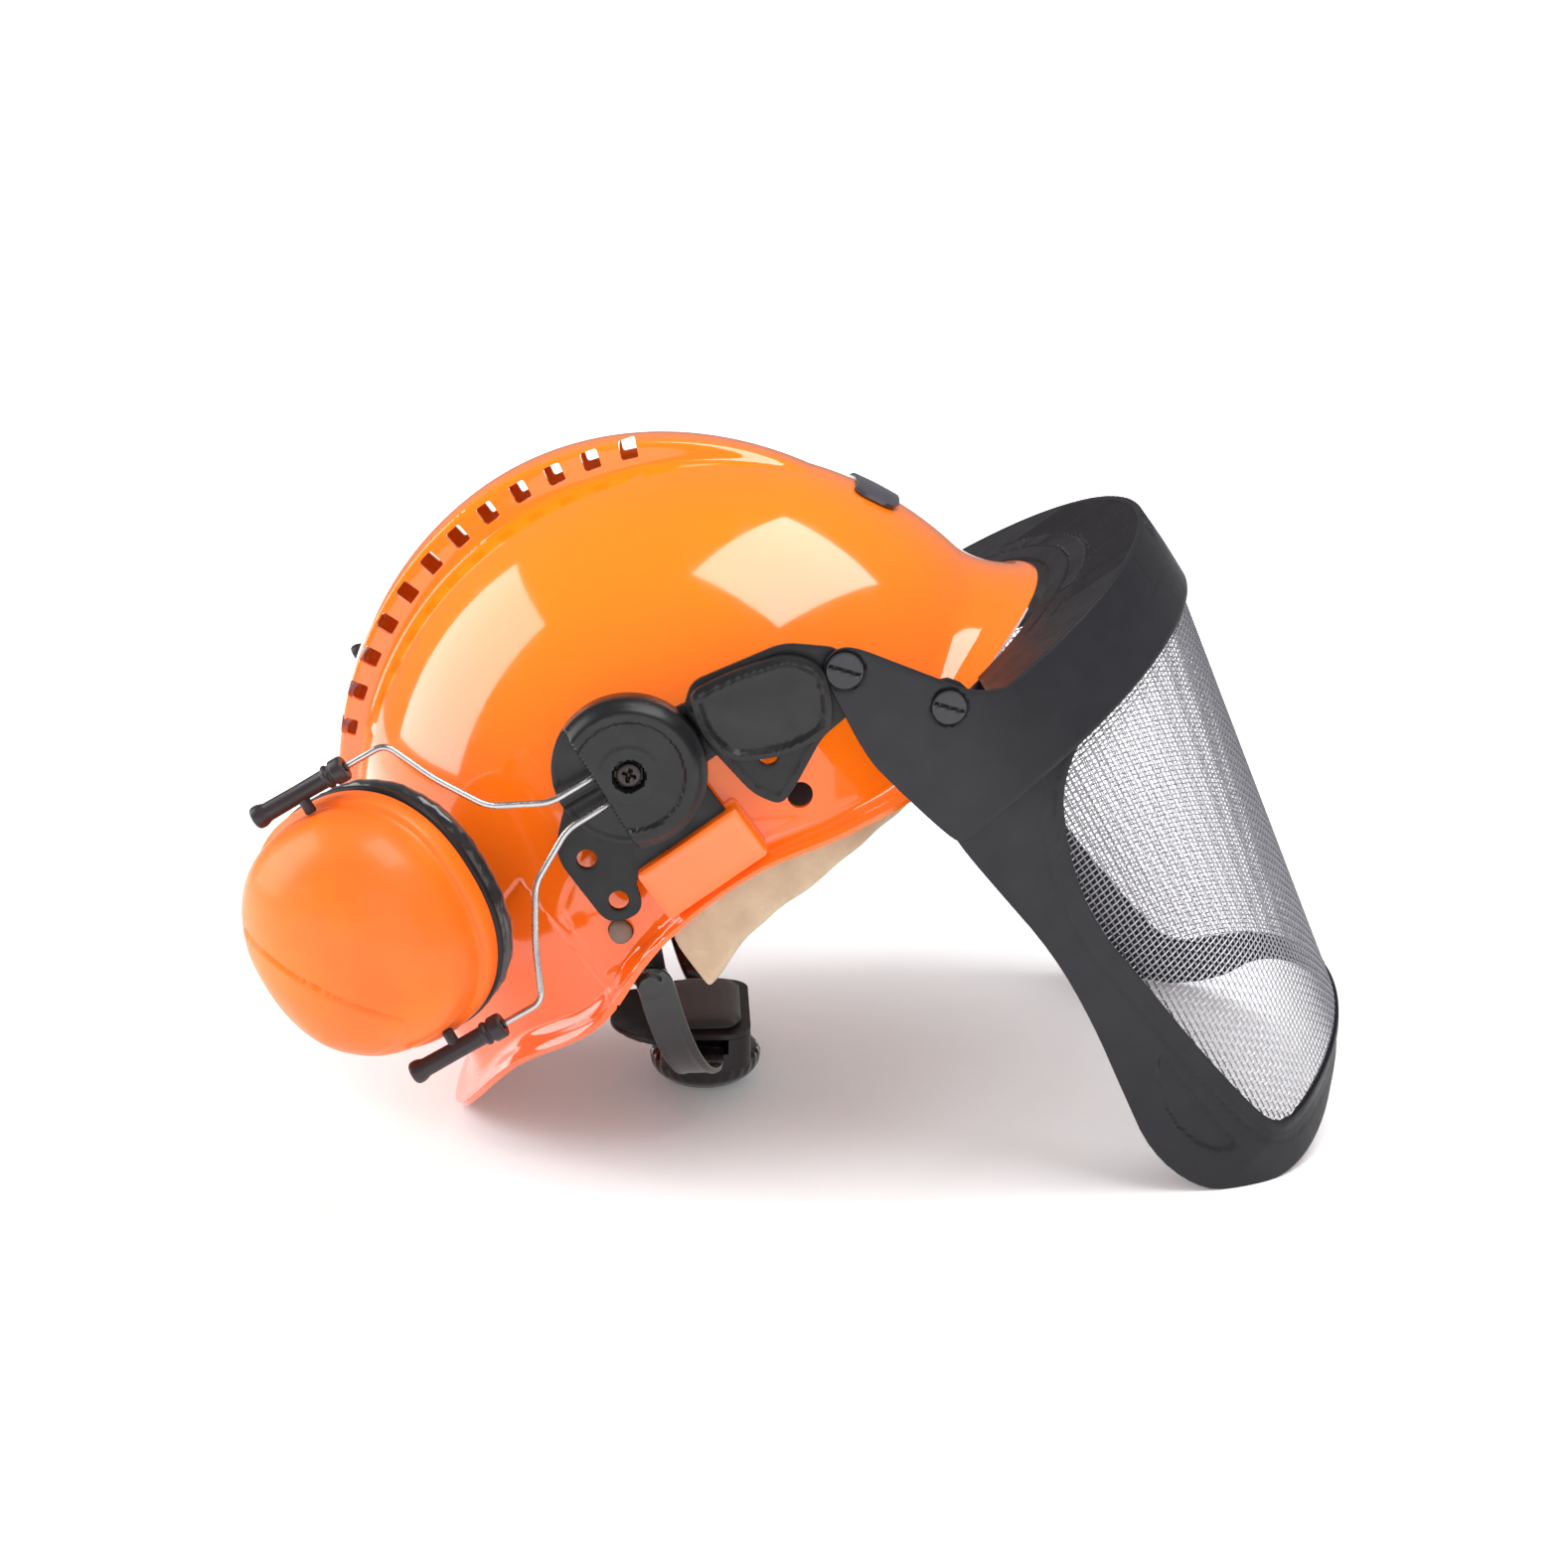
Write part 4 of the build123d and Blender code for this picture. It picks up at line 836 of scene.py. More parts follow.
def sleeves(hand, place):
    """The two plastic sleeves on the wires: ribbed collar at the mouth, plain collar and a rounded end."""
    r, body = SLEEVE_RADIUS, f"sleeves_{hand}"
    outline = [(r + 0.9, 18.0), (r + 1.2, 17.2), (r + 1.2, 13.6), (r + 0.3, 13.0), (r + 0.3, 12.2), (r + 0.9, 11.8),
               (r + 0.9, 10.6), (r, 10.0), (r - 0.15, 0), (r, -13.0), (r + 0.5, -14.2), (r + 0.8, -15.2),
               (r + 0.8, -17.0), (r + 0.2, -17.9), (0.3, -18.0)]
    mouth = [(1.5, 12.0), (1.5, 17.2), (1.9, 18.0)]
    profile = [(p[0], p[1]) for p in round_profile([(a, b, 0) for a, b in mouth + outline], 0.5, 2)]
    pin = [(0.01, 0), (2.0, 0), (2.0, 6.2), (1.6, 6.8), (0.01, 6.9)]
    for number, side in ((1, 1), (2, -1)):
        turned(f"sleeve_{hand}_{number}", profile, (1, 1), 36, SLEEVE_BLACK, body,
               place @ move(0, side * SLEEVE_GAP, 0) @ turn("Y", 90),
               node=f"wire_sleeves_{hand}" if number == 1 else None)
        turned(f"cup_pin_{hand}_{number}", pin, (1, 1), 24, SLEEVE_BLACK, body,
               place @ move(0, side * (SLEEVE_GAP - 1), 0) @ turn("X", 90 * side))


WIRE_BENDS = ((-10.1, 5.3), (-27.5, 5.4), (-46, 15.5), (-56.5, 33), (-64.5, SLEEVE_GAP), (-106, SLEEVE_GAP))


def wire_path(side):
    """Bends of the upper (1) or lower (-1) wire; the roll of the cup grows along the arm."""
    bends = []
    for x, gap in WIRE_BENDS:
        along = max(0, min(1, (x - HINGE[0]) / (WIRE_BENDS[-2][0] - HINGE[0])))
        roll = math.radians(ARM_ROLL) * along
        rise = (CUP_PLACE[1] - HINGE[1]) * along
        bends.append((x, side * gap * math.cos(roll), HINGE[1] + rise - side * gap * math.sin(roll)))
    return bends


def foam_wave(verts):
    """Turns the foam to face the ear and gives its face a slow wave."""
    verts[:, 2] = -verts[:, 2] + CUP_RIM + 0.5
    wave = 0.5 * np.sin(verts[:, 0] * 0.35) * np.sin(verts[:, 1] * 0.31)
    verts[:, 2] += np.where(verts[:, 2] < CUP_RIM + 3, wave + 0.5, 0)
    return verts


def build_muffs():
    plate = [(0.2, -0.2), (0.7, -0.8), (0.9, -1.8), (0.5, -2.9), (-0.5, -3.3), (-20.5, -3.3), (-21, -2.8),
             (-21, -0.6), (-20.5, -0.1)]
    plate = [(grow, CUP_RIM + z) for grow, z in plate]
    foam = [(0.02, 0.0), (0.5, 0.2), (0.85, -0.4), (0.97, -1.8), (1.0, -4.5), (1.0, -12), (0.96, -14), (0.02, -14)]
    for hand, mirror in HANDS:
        place = mirror @ right_cup()
        ear_cup(hand, place)
        ring_body(f"cup_back_ring_{hand}", plate, BLACK, hand, place, f"cup_back_{hand}")
        cushion = cushion_start(hand, place)
        simulate(cushion, 0.0035)
        tidy_cushion(cushion, place)
        turned(f"foam_{hand}", foam, (CUP[0] - 5.5, CUP[1] - 6.5), 96, FOAM, f"muff_{hand}", place, 50, foam_wave,
               node=f"cup_foam_{hand}")
        sleeves(hand, mirror @ right_yoke())
        for number, side in ((1, 1), (2, -1)):
            tube(f"wire_{hand}_{number}", wire_path(side), 1.15, 14, 4, WIRE, f"arm_{hand}", mirror @ right_disc(),
                 f"arm_wires_{hand}" if number == 1 else None)


# ---------------------------------------------------------------- visor
def wrapped(s, t, depth, half_width, reach, centre, mean):
    """Wraps a sheet round a U: s runs from the right leg round the front to the left leg, t is height."""
    angle = np.clip(s / mean, 0, math.pi)
    back = np.maximum(s - math.pi * mean, 0) - np.minimum(s, 0)
    return np.stack([-(half_width - depth) * np.cos(angle),
                     centre - (reach - depth) * np.sin(angle) + back, t], 1)


def visor_section(height):
    """Half width, reach and centre of the visor's curve at a height."""
    heights = [section[3] for section in FRAME_SECTIONS][::-1]
    return [np.interp(height, heights, [section[k] for section in FRAME_SECTIONS][::-1]) for k in range(3)]


VISOR_MEAN = 108.0
VISOR_FRONT = VISOR_MEAN * math.pi / 2


def visor_place(back_by):
    return lambda s, t, depth: wrapped(s, t, depth + back_by, *visor_section(t), VISOR_MEAN)


def unrolled(points, centre_of, reach_of, mean, front):
    """Side outline (forwards, up) of the right half to unrolled (s, height), with the left half mirrored on.
    Along the leg s is measured straight, and round the front it follows the curve."""
    fine = []
    for a, b in zip(points, points[1:]):
        count = max(1, int(max(abs(b[0] - a[0]), abs(b[1] - a[1])) / 3))
        fine += [(a[0] + (b[0] - a[0]) * k / count, a[1] + (b[1] - a[1]) * k / count) for k in range(count)]
    fine.append(points[-1])
    half = []
    for f, up in fine:
        centre, reach = -centre_of(up), reach_of(up)
        half.append((f - centre if f < centre else mean * math.asin(min(1, (f - centre) / reach)), up))
    half = half[:1] + [p for before, p in zip(half, half[1:]) if math.dist(p, before) > 0.05]
    return np.array(half + [(2 * front - s, up) for s, up in reversed(half) if front - s > 0.05])


def softened(edge):
    """An open outline with its corners cut twice; its first and last points are left alone."""
    points = [np.array(p, float) for p in edge[1:-1]]
    for _ in range(2):
        out = [points[0]]
        for a, b in zip(points, points[1:]):
            out += [a * 0.75 + b * 0.25, a * 0.25 + b * 0.75]
        points = out + [points[-1]]
    return edge[:1] + [tuple(p) for p in points] + edge[-1:]


def visor_outline(points):
    return unrolled(points, lambda z: float(visor_section(z)[2]), lambda z: float(visor_section(z)[1]),
                    VISOR_MEAN, VISOR_FRONT)


# the frame's and the mesh opening's outlines on one side, as (forwards, up)
FRAME_EDGE = [(200, -206), (156, -207), (140, -211), (128, -217), (114, -218.6), (100, -214.5), (87, -205.5),
              (75, -194), (69.5, -172), (74, -147), (80, -117), (83, -86), (80, -52), (78.5, -32), (79.5, -8),
              (94, -7.5), (94, 20), (112, 20), (112, -8), (200, -8)]
OPENING_EDGE = [(200, -200), (138, -201), (119.5, -201), (111.5, -195), (108.5, -180), (105, -147), (103, -112),
                (101, -90), (104, -70), (110.5, -52), (120, -36), (141, -25), (200, -25)]


def build_visor_frame():
    outer = visor_outline(softened(FRAME_EDGE))
    opening = visor_outline(softened(OPENING_EDGE))
    moon = visor_outline([(93, -142), (96.8, -190.6), (93.5, -190.8), (88.5, -186.5), (84.8, -179), (83, -170),
                          (83.6, -160), (87, -149), (92, -142.4), (93, -142)])
    moon = moon[:len(moon) // 2]

    def relief(s, t):
        lip = distance_to(opening, np.stack([s, t], 1))
        mirrored = np.stack([np.minimum(s, 2 * VISOR_FRONT - s), t], 1)
        moon_drop = np.where(inside(mirrored, moon), smooth(0, 0.7, distance_to(moon, mirrored)), 0)
        return (0.9 * (1 - smooth(2.6, 3.8, lip)) - 0.9 * moon_drop - 0.35 * bell(7.5, 0.9, lip)
                + 0.25 * smooth(3.8, 14, lip))
    moulding("visor_frame_moulding", [outer, opening], visor_place(0.3), FRAME_THICK - 0.5, CHARCOAL, "visor",
             1.25, relief, 0.45, sharp=30, node="visor_frame")
    return opening


def woven_wires(opening, pitch_s, pitch_t, wire):
    """The woven mesh: every wire is a thin tube that passes over and under the wires it crosses."""
    room = inset(even_loop(opening if area(opening) > 0 else opening[::-1], 1.0), -2.2)
    place = visor_place(MESH_INSET + 0.35)
    s_values = np.arange(VISOR_FRONT % pitch_s, 2 * VISOR_FRONT, pitch_s)
    t_values = np.arange(-206, -18, pitch_t)
    where = np.stack(np.meshgrid(s_values, t_values, indexing="ij"), -1)
    good = inside(where.reshape(-1, 2), room).reshape(where.shape[:2])
    verts, faces = [], []
    ring = [(1, 0), (0, 1), (-1, 0), (0, -1)]

    def lay(points, signs, across):
        """One run of wire through crossing points, with depth following signs."""
        base = len(verts)
        depths = np.array([sign * wire * 0.62 for sign in signs])
        centre = place(points[:, 0], points[:, 1], depths)
        sideways = place(points[:, 0] + across[0], points[:, 1] + across[1], depths) - centre
        sideways /= np.linalg.norm(sideways, axis=1, keepdims=True)
        down = place(points[:, 0], points[:, 1], depths + 1.0) - centre
        down /= np.linalg.norm(down, axis=1, keepdims=True)
        for p, a, b in zip(centre, sideways, down):
            verts.extend([p + (a * u + b * v) * wire for u, v in ring])
        for i in range(len(points) - 1):
            for k in range(4):
                a, b = base + 4 * i + k, base + 4 * i + (k + 1) % 4
                faces.append((a, b, b + 4, a + 4))
        faces.append((base, base + 3, base + 2, base + 1))
        end = base + 4 * (len(points) - 1)
        faces.append((end, end + 1, end + 2, end + 3))

    def runs(flags):
        start = None
        for i, flag in enumerate(list(flags) + [False]):
            if flag and start is None:
                start = i
            elif not flag and start is not None:
                if i - start > 1:
                    yield start, i
                start = None

    for i in range(len(s_values)):
        for a, b in runs(good[i]):
            lay(where[i, a:b], [1 if (i + j) % 2 else -1 for j in range(a, b)], (0.5, 0))
    for j in range(len(t_values)):
        for a, b in runs(good[:, j]):
            lay(where[a:b, j], [-1 if (i + j) % 2 else 1 for i in range(a, b)], (0, 0.5))
    piece("visor_weave", verts, faces, MESH_WIRE, "visor", sharp=75, node="visor_mesh")


BRACKET_EDGE = [(200, FASCIA_TOP), (123, FASCIA_TOP), (113.2, 9.5), (104, 24), (96.6, 35.5), (89.5, 46.5),
                (84.5, 50.2), (78, 49.4), (74.6, 45), (74, 38), (70.6, 14), (72, 2), (77.6, -27), (80.5, -31.5),
                (90, -30.7), (110, -29.5), (200, FASCIA_FOOT)]


def screw_head(name, hand, seat, out, radius, body, material=SCREW_DARK, cross=False):
    """A screw head with its slot, or with a cross, sunk in a shallow dish."""
    def relief(s, t):
        x, y = s - seat[0], t - seat[1]
        a = math.radians(38)
        u, v = x * math.cos(a) + y * math.sin(a), -x * math.sin(a) + y * math.cos(a)
        r = np.hypot(x, y)
        drive = bell(0, 0.85, u) * (np.abs(v) < radius * (0.55 if cross else 0.86))
        if cross:
            drive = np.maximum(drive, bell(0, 0.85, v) * (np.abs(u) < radius * 0.55))
        return -1.1 * drive + (0.35 if cross else -0.15) * (1 - (r / radius) ** 2)
    moulding(f"{name}_head_{hand}", [circle(seat, radius, 48)], flat_place(out), 1.6, material, body, 0.55,
             relief, 0.5, dict(HANDS)[hand] @ side_matrix(1), node=f"{name}_{hand}")


def build_bracket():
    mean = sum(ARCH) / 2
    front = mean * math.pi / 2
    outline = unrolled(softened(BRACKET_EDGE), lambda z: ARCH_CENTRE, lambda z: ARCH[1], mean, front)
    pivot_s = PIVOT[0] + ARCH_CENTRE
    screw_s = mean * math.asin((VISOR_SCREW[0] + ARCH_CENTRE) / ARCH[1])

    def relief(s, t):
        from_front = np.abs(s - front)
        mirrored = np.minimum(s, 2 * front - s)
        teeth = (bell(0, 0.75, (from_front - 16) % 3.4 - 1.7) * smooth(15.5, 16.5, from_front)
                 * (1 - smooth(32.6, 33.4, from_front)) * smooth(-3.6, -2.6, t))
        dish = sum(1 - smooth(radius - 0.3, radius + 0.3, np.hypot(mirrored - where_s, t - up))
                   for where_s, up, radius in ((pivot_s, PIVOT[1], 6.9), (screw_s, VISOR_SCREW[1], 6.4)))
        seam = bell(0, 0.55, from_front - 62) * smooth(-12, -10, t) * (t < 4.5)
        crease = bell(-11, 0.5, t) * bell(62, 18, from_front)
        crown = 0.5 * bell(-12, 24, t) * smooth(20, 60, mirrored)
        return -0.9 * teeth - 0.9 * dish - 0.4 * seam - 0.3 * crease + crown
    moulding("bracket_band", [outline], lambda s, t, depth: wrapped(s, t, depth, *ARCH, ARCH_CENTRE, mean), 2.6,
             CHARCOAL, "visor", 1.3, relief, 0.8, sharp=30, node="visor_bracket")

    # the ribbed top between the band and the shell's peak
    outer_turn, inner_turn = math.radians(72.5), math.radians(52.5)
    loops = []
    for (half, reach), y, wide in (((ARCH[0] - 1.2, ARCH[1] - 1.2), ARCH_CENTRE, outer_turn),
                                   (PEAK, PEAK_Y, inner_turn)):
        line = [(half * math.sin(a * wide), y - reach * math.cos(a * wide)) for a in np.linspace(-1, 1, 121)]
        loops.append([p for p in line if p[1] <= -113.8])
    loop = np.array(loops[0] + loops[1][::-1])

    def top_relief(s, t):
        reach = (np.hypot(s / PEAK[0], (t - PEAK_Y) / PEAK[1]) - 1) * PEAK[1]  # 0 at the peak's side
        ribs = 0.5 + 0.5 * np.cos(s * 2 * math.pi / 2.9)
        rib_room = smooth(17.5, 18.3, reach) * smooth(62, 60, np.abs(s))
        arc_one = bell(8.5, 0.7, reach) * smooth(70, 62, np.abs(s))
        arc_two = bell(17, 0.7, reach) * smooth(70, 62, np.abs(s))
        panel = smooth(9.5, 10.5, reach) * smooth(16, 15, reach) * smooth(34, 33, np.abs(s))
        slots = bell(0, 0.7, np.abs(s) - 46) * (reach > 8.5) * (reach < 17)
        return -0.85 * ribs * rib_room - 0.9 * arc_one - 0.9 * arc_two - 0.7 * panel - 0.6 * slots
    moulding("bracket_top", [loop], lambda s, t, d: np.stack([s, t, FASCIA_TOP - 0.15 - d], 1), 2.6,
             CHARCOAL, "visor", 0.95, top_relief, 0.5, sharp=40)
    # a thin lip hanging from the top's inner edge, in front of the shell's peak
    lip_mean = (RIM[0] + PEAK[1]) / 2

    def lip_place(s, t, depth):
        return np.stack([(PEAK[0] - 0.2 + depth) * np.sin(s / lip_mean),
                         PEAK_Y - (PEAK[1] - 0.2 + depth) * np.cos(s / lip_mean), t], 1)
    span = inner_turn * 0.98 * lip_mean
    lip = round_loop([(-span, FASCIA_TOP - 1), (-span, -9), (-span * 0.8, -27, 16), (span * 0.8, -27, 16),
                      (span, -9), (span, FASCIA_TOP - 1)], 2)
    moulding("bracket_lip", [lip], lip_place, 1.4, CHARCOAL, "visor", 2.0, None, 0.4)
    for hand in ("right", "left"):
        screw_head("pivot_screw", hand, PIVOT, 118.9, 6.3, "helmet")
        screw_head("visor_screw", hand, VISOR_SCREW, 116.9, 5.9, "visor")


# ---------------------------------------------------------------- side plates
def build_sides():
    for hand, mirror in HANDS:
        side = mirror @ side_matrix(1)
        disc = mirror @ right_disc()
        # the thin plate with two accessory holes, fixed in the shell's pocket
        outline = round_loop([(-14, 9, 2), (20, 9, 2), (20, 42, 6), (60, 42, 3), (60, 58, 3), (14, 66, 10),
                              (-14, 66, 12), (-37.3, 46, 8), (-37.3, 13.5, 8), (-24, 10.5, 8), (-20, 22, 5),
                              (-14, 22, 3)], 3)
        holes = [circle(centre, 3.5, 32) for centre in ((-29.0, 37.8), (-29.0, 19.2))]
        moulding(f"side_plate_{hand}", [outline] + holes, flat_place(111.2), 3.0, BLACK, "helmet", 2.5, None, 0.5,
                 side, node=f"adapter_plate_{hand}")

        # the turning disc: a flat outer half with the wires and a raised, dished half
        def disc_relief(s, t):
            r = np.hypot(s, t)
            raised = smooth(-12.0, -10.2, s)
            dish = smooth(19.2, 18.4, r)
            rim = bell(23.5, 3.2, r)
            chamfer = smooth(21.5, 26, r)
            boss = smooth(10.6, 10.0, r) * smooth(5.0, 5.6, r)
            well = smooth(5.6, 5.0, r)
            body = 10.0 - 1.3 * dish - 3.4 * chamfer * raised + 0.5 * rim + 0.25 * boss - 3.6 * well
            spoke = bell(0, 1.2, t) * smooth(-12, -13, s)
            return raised * body + (1 - raised) * (0.4 * smooth(24, 25, r) - 0.6 * spoke)
        moulding(f"disc_{hand}", [circle((0, 0), DISC_RADIUS, 120)], flat_place(LID_IN - 0.2), 2.6, CAP_BLACK,
                 f"disc_{hand}", 0.9, disc_relief, 0.6, disc, 28, node=f"arm_disc_{hand}")
        screw_head("disc_screw", hand, DISC_CENTRE, 121.6, 4.2, "helmet", SCREW_STEEL, cross=True)

        # the visor's carrier: a shield-shaped tab with a U-shaped opening, and a step by the arm
        shield = round_loop([(29, 47, 3), (31.5, 24, 5), (37, 15.5, 6), (43.5, 17.5, 5), (62, 27, 4), (77, 28.5, 2),
                             (84, 36, 4), (84, 49.5, 4), (70, 61.5, 5), (37, 68.5, 4), (29, 62, 4)], 4)
        window = [(43.5 + 3.4 * math.cos(a), 32.5 + 3.4 * math.sin(a))
                  for a in np.linspace(math.pi, 2 * math.pi, 14)]
        window += [(46.9, 36.5), (44.9, 36.5), (44.9, 33.2), (42.1, 33.2), (42.1, 36.5), (40.1, 36.5)]

        def shield_relief(s, t):
            return 0.5 * bell(2.2, 1.1, distance_to(shield, np.stack([s, t], 1))) * smooth(66, 60, s)
        moulding(f"carrier_{hand}", [shield, window], flat_place(LID_IN - 0.2), 2.8, BLACK, "helmet", 1.2,
                 shield_relief, 0.5, side, node=f"visor_carrier_{hand}")

        # the cover over the carrier: rounded, with a double raised border
        cover = round_loop([(34.5, 67.2, 5), (52, 64.5, 20), (70, 58.5, 6), (77.0, 48.5, 5), (72.5, 36, 14),
                            (66.3, 28.2, 5), (50, 29.5, 12), (32.8, 38.5, 6), (29.6, 52, 14)], 5)

        def cover_relief(s, t):
            border = distance_to(cover, np.stack([s, t], 1))
            return (0.75 * bell(2.1, 1.0, border) - 0.9 * smooth(3.0, 3.9, border)
                    + 0.6 * smooth(3, 16, border))
        moulding(f"carrier_cover_{hand}", [cover], flat_place(LID_IN + 5.2), 4.9, CAP_BLACK, "helmet", 0.9,
                 cover_relief, 0.9, side, node=f"carrier_cap_{hand}")

        barrel = [(0.01, -12.8), (1.1, -12.8), (1.1, -10.2), (1.85, -10.1), (1.85, 10.1), (1.1, 10.2), (1.1, 12.8),
                  (0.01, 12.8)]
        turned(f"arm_pin_{hand}", barrel, (1, 1), 24, WIRE, f"arm_{hand}",
               disc @ move(HINGE[0], 0, HINGE[1]) @ turn("X", 90), node=f"arm_hinge_{hand}")
        plug = [(0.01, 0.3), (3.3, 0.1), (3.9, -0.4), (4.1, -1.4), (4.1, -9), (0.01, -9)]
        turned(f"plug_{hand}", plug, (1, 1), 40, PLUG, "helmet", side @ move(*PLUG_HOLE, 102.4),
               node=f"rim_plug_{hand}")


# ---------------------------------------------------------------- harness
NAPE_PIVOT, NAPE_FOLD, NAPE_Z = (46.0, -22.0), 55, -42.3
KNOB_RADIUS, KNOB_FACE = 22.5, 119.2
SWEAT_EDGE = ((-36, -37), (-28, -35), (-3, -26.5), (33, -24), (62, -24.5), (110, -18))


def nape_seat():
    """The nape unit is drawn as worn and folded under about its studs."""
    return move(0, *NAPE_PIVOT) @ turn("X", -NAPE_FOLD) @ move(0, -NAPE_PIVOT[0], -NAPE_PIVOT[1])


def build_sweatband():
    """Soft leather folded round the headband's lower edge, padded inside, from ear to ear."""
    mean = sum(BAND) / 2
    reach = 108.0  # degrees each side of the forehead
    length = math.radians(reach) * mean

    def place(s, t, depth):
        angle = s / mean
        f = BAND[1] * np.cos(angle) - BAND_CENTRE
        edge = curve_through(SWEAT_EDGE, f) + 0.5 * np.sin(s * 0.11) + 0.25 * np.sin(s * 0.31 + 1)
        share = t / 60
        flap, turn_end = 0.42, 0.58
        down = np.clip(share / flap, 0, 1)
        around = np.clip((share - flap) / (turn_end - flap), 0, 1)
        upward = np.clip((share - turn_end) / (1 - turn_end), 0, 1)
        height = -3.5 + (edge + 2.6 + 3.5) * down
        bend = around * math.pi
        radius_outer = 2.6 - depth
        gap = np.where(around > 0, -0.3 + radius_outer * np.cos(bend), 2.3 - depth)
        height = np.where(around > 0, edge + 2.6 - radius_outer * np.sin(bend), height)
        bulge = 1.2 * np.sin(upward * math.pi) * (0.8 + 0.2 * np.sin(s * 0.14))
        gap = np.where(upward > 0, -0.3 - radius_outer - bulge, gap)
        height = np.where(upward > 0, edge + 2.6 + (16 - edge - 2.6) * upward, height)
        return np.stack([(BAND[0] + gap) * np.sin(angle), BAND_CENTRE - (BAND[1] + gap) * np.cos(angle), height], 1)

    loop = round_loop([(-length, 1, 12), (length, 1, 12), (length, 59, 10), (-length, 59, 10)], 10, 8)

    def relief(s, t):
        stitch = (bell(4, 0.8, t) + bell(56, 0.8, t)) * (0.6 + 0.4 * np.sin(s * 2.4))
        crease = 0.25 * np.sin(s * 0.45 + np.sin(t * 0.2) * 2) * bell(25, 16, t)
        return -0.25 * stitch + 0.2 * crease
    moulding("sweatband_leather", [loop], place, 1.5, SUEDE, "helmet", 1.6, relief, 0.5, sharp=70, node="sweatband")


def build_crown_straps():
    for name, angle, lift in (("lower", 40, 0), ("upper", -40, 2.7)):
        along = Vector((math.sin(math.radians(angle)), -math.cos(math.radians(angle)), 0))
        across = along.cross(Vector((0, 0, 1)))
        mean = 100.0

        def place(s, t, depth):
            a = s / mean
            points = (np.outer((95 - depth) * np.sin(a), along) + np.outer(t, across)
                      + np.outer((105 + lift - depth) * np.cos(a), (0, 0, 1)))
            return points + (0, BAND_CENTRE, 0)
        length = math.radians(78) * mean
        loop = round_loop([(-length, -9), (length, -9), (length, 9), (-length, 9)], 1.0, 3)
        moulding(f"crown_webbing_{name}", [loop], place, 1.4, WEBBING, "helmet", 1.8,
                 lambda s, t: 0.12 * np.cos(t * 2.8) + 0.15 * bell(7.6, 0.5, np.abs(t)), 0.45, sharp=50,
                 node=f"crown_strap_{name}")


def build_nape_straps():
    """Each strap curves from its stud round to a toothed tongue in the ratchet."""
    seat = nape_seat()
    t = np.linspace(0, 1, 60)[:, None]
    start, end = np.array((80.6, 52.0)), np.array((44.0, 94.0))
    pull, lead = np.array((0.0, 62.0)), np.array((-52.0, 0.0))
    line = np.vstack([[(80.6, 36.0)], hermite(t, start, pull, end, lead), [(-14.0, 94.0)]])
    run = np.concatenate([[0], np.cumsum(np.linalg.norm(np.diff(line, axis=0), axis=1))])
    stud, housing = 10.0, float(np.interp(-30, -line[:, 0], run))

    def along(s):
        return np.stack([np.interp(s, run, line[:, 0]), np.interp(s, run, line[:, 1])])

    def place(s, t, depth):
        x, y = along(s)
        ahead = along(s + 1.5) - along(s - 1.5)
        ahead /= np.maximum(np.linalg.norm(ahead, axis=0), 1e-9)
        out = 1.0 - depth
        return np.stack([-(x + out * ahead[1]), y - out * ahead[0], t], 1)

    # each tongue keeps to its own half of the housing
    for (hand, mirror), (low, high) in zip(HANDS, ((4.8, 8.8), (-8.8, -4.8))):

        def relief(s, t):
            middle = np.interp(s, (stud, housing - 14), (NAPE_PIVOT[1], NAPE_Z))
            border = bell(5.6, 1.1, np.abs(t - middle)) * smooth(stud + 6, stud + 12, s)
            boss = smooth(5.2, 4.2, np.hypot(s - stud, t - NAPE_PIVOT[1]))
            teeth = (0.5 + 0.5 * np.sin(s * 2.6)) * smooth(housing + 4, housing + 6, s)
            return 0.55 * border + 1.1 * boss - 0.5 * teeth
        top, foot = NAPE_Z + 7, NAPE_Z - 7
        tongue = [(housing + 3, NAPE_Z + low), (run[-1], NAPE_Z + low), (run[-1], NAPE_Z + high),
                  (housing + 3, NAPE_Z + high)]
        loop = [(stud - 7, NAPE_PIVOT[1] - 7, 6.9), (housing - 14, foot, 20), (housing, foot, 1), *tongue,
                (housing, top, 1), (housing - 14, top, 20), (stud - 7, NAPE_PIVOT[1] + 7, 6.9)]
        moulding(f"nape_loop_{hand}", [round_loop(loop, 0.6)], place, 2.0, KNOB, f"strap_{hand}", 1.1, relief, 0.5,
                 mirror @ seat, 50, f"nape_strap_{hand}")


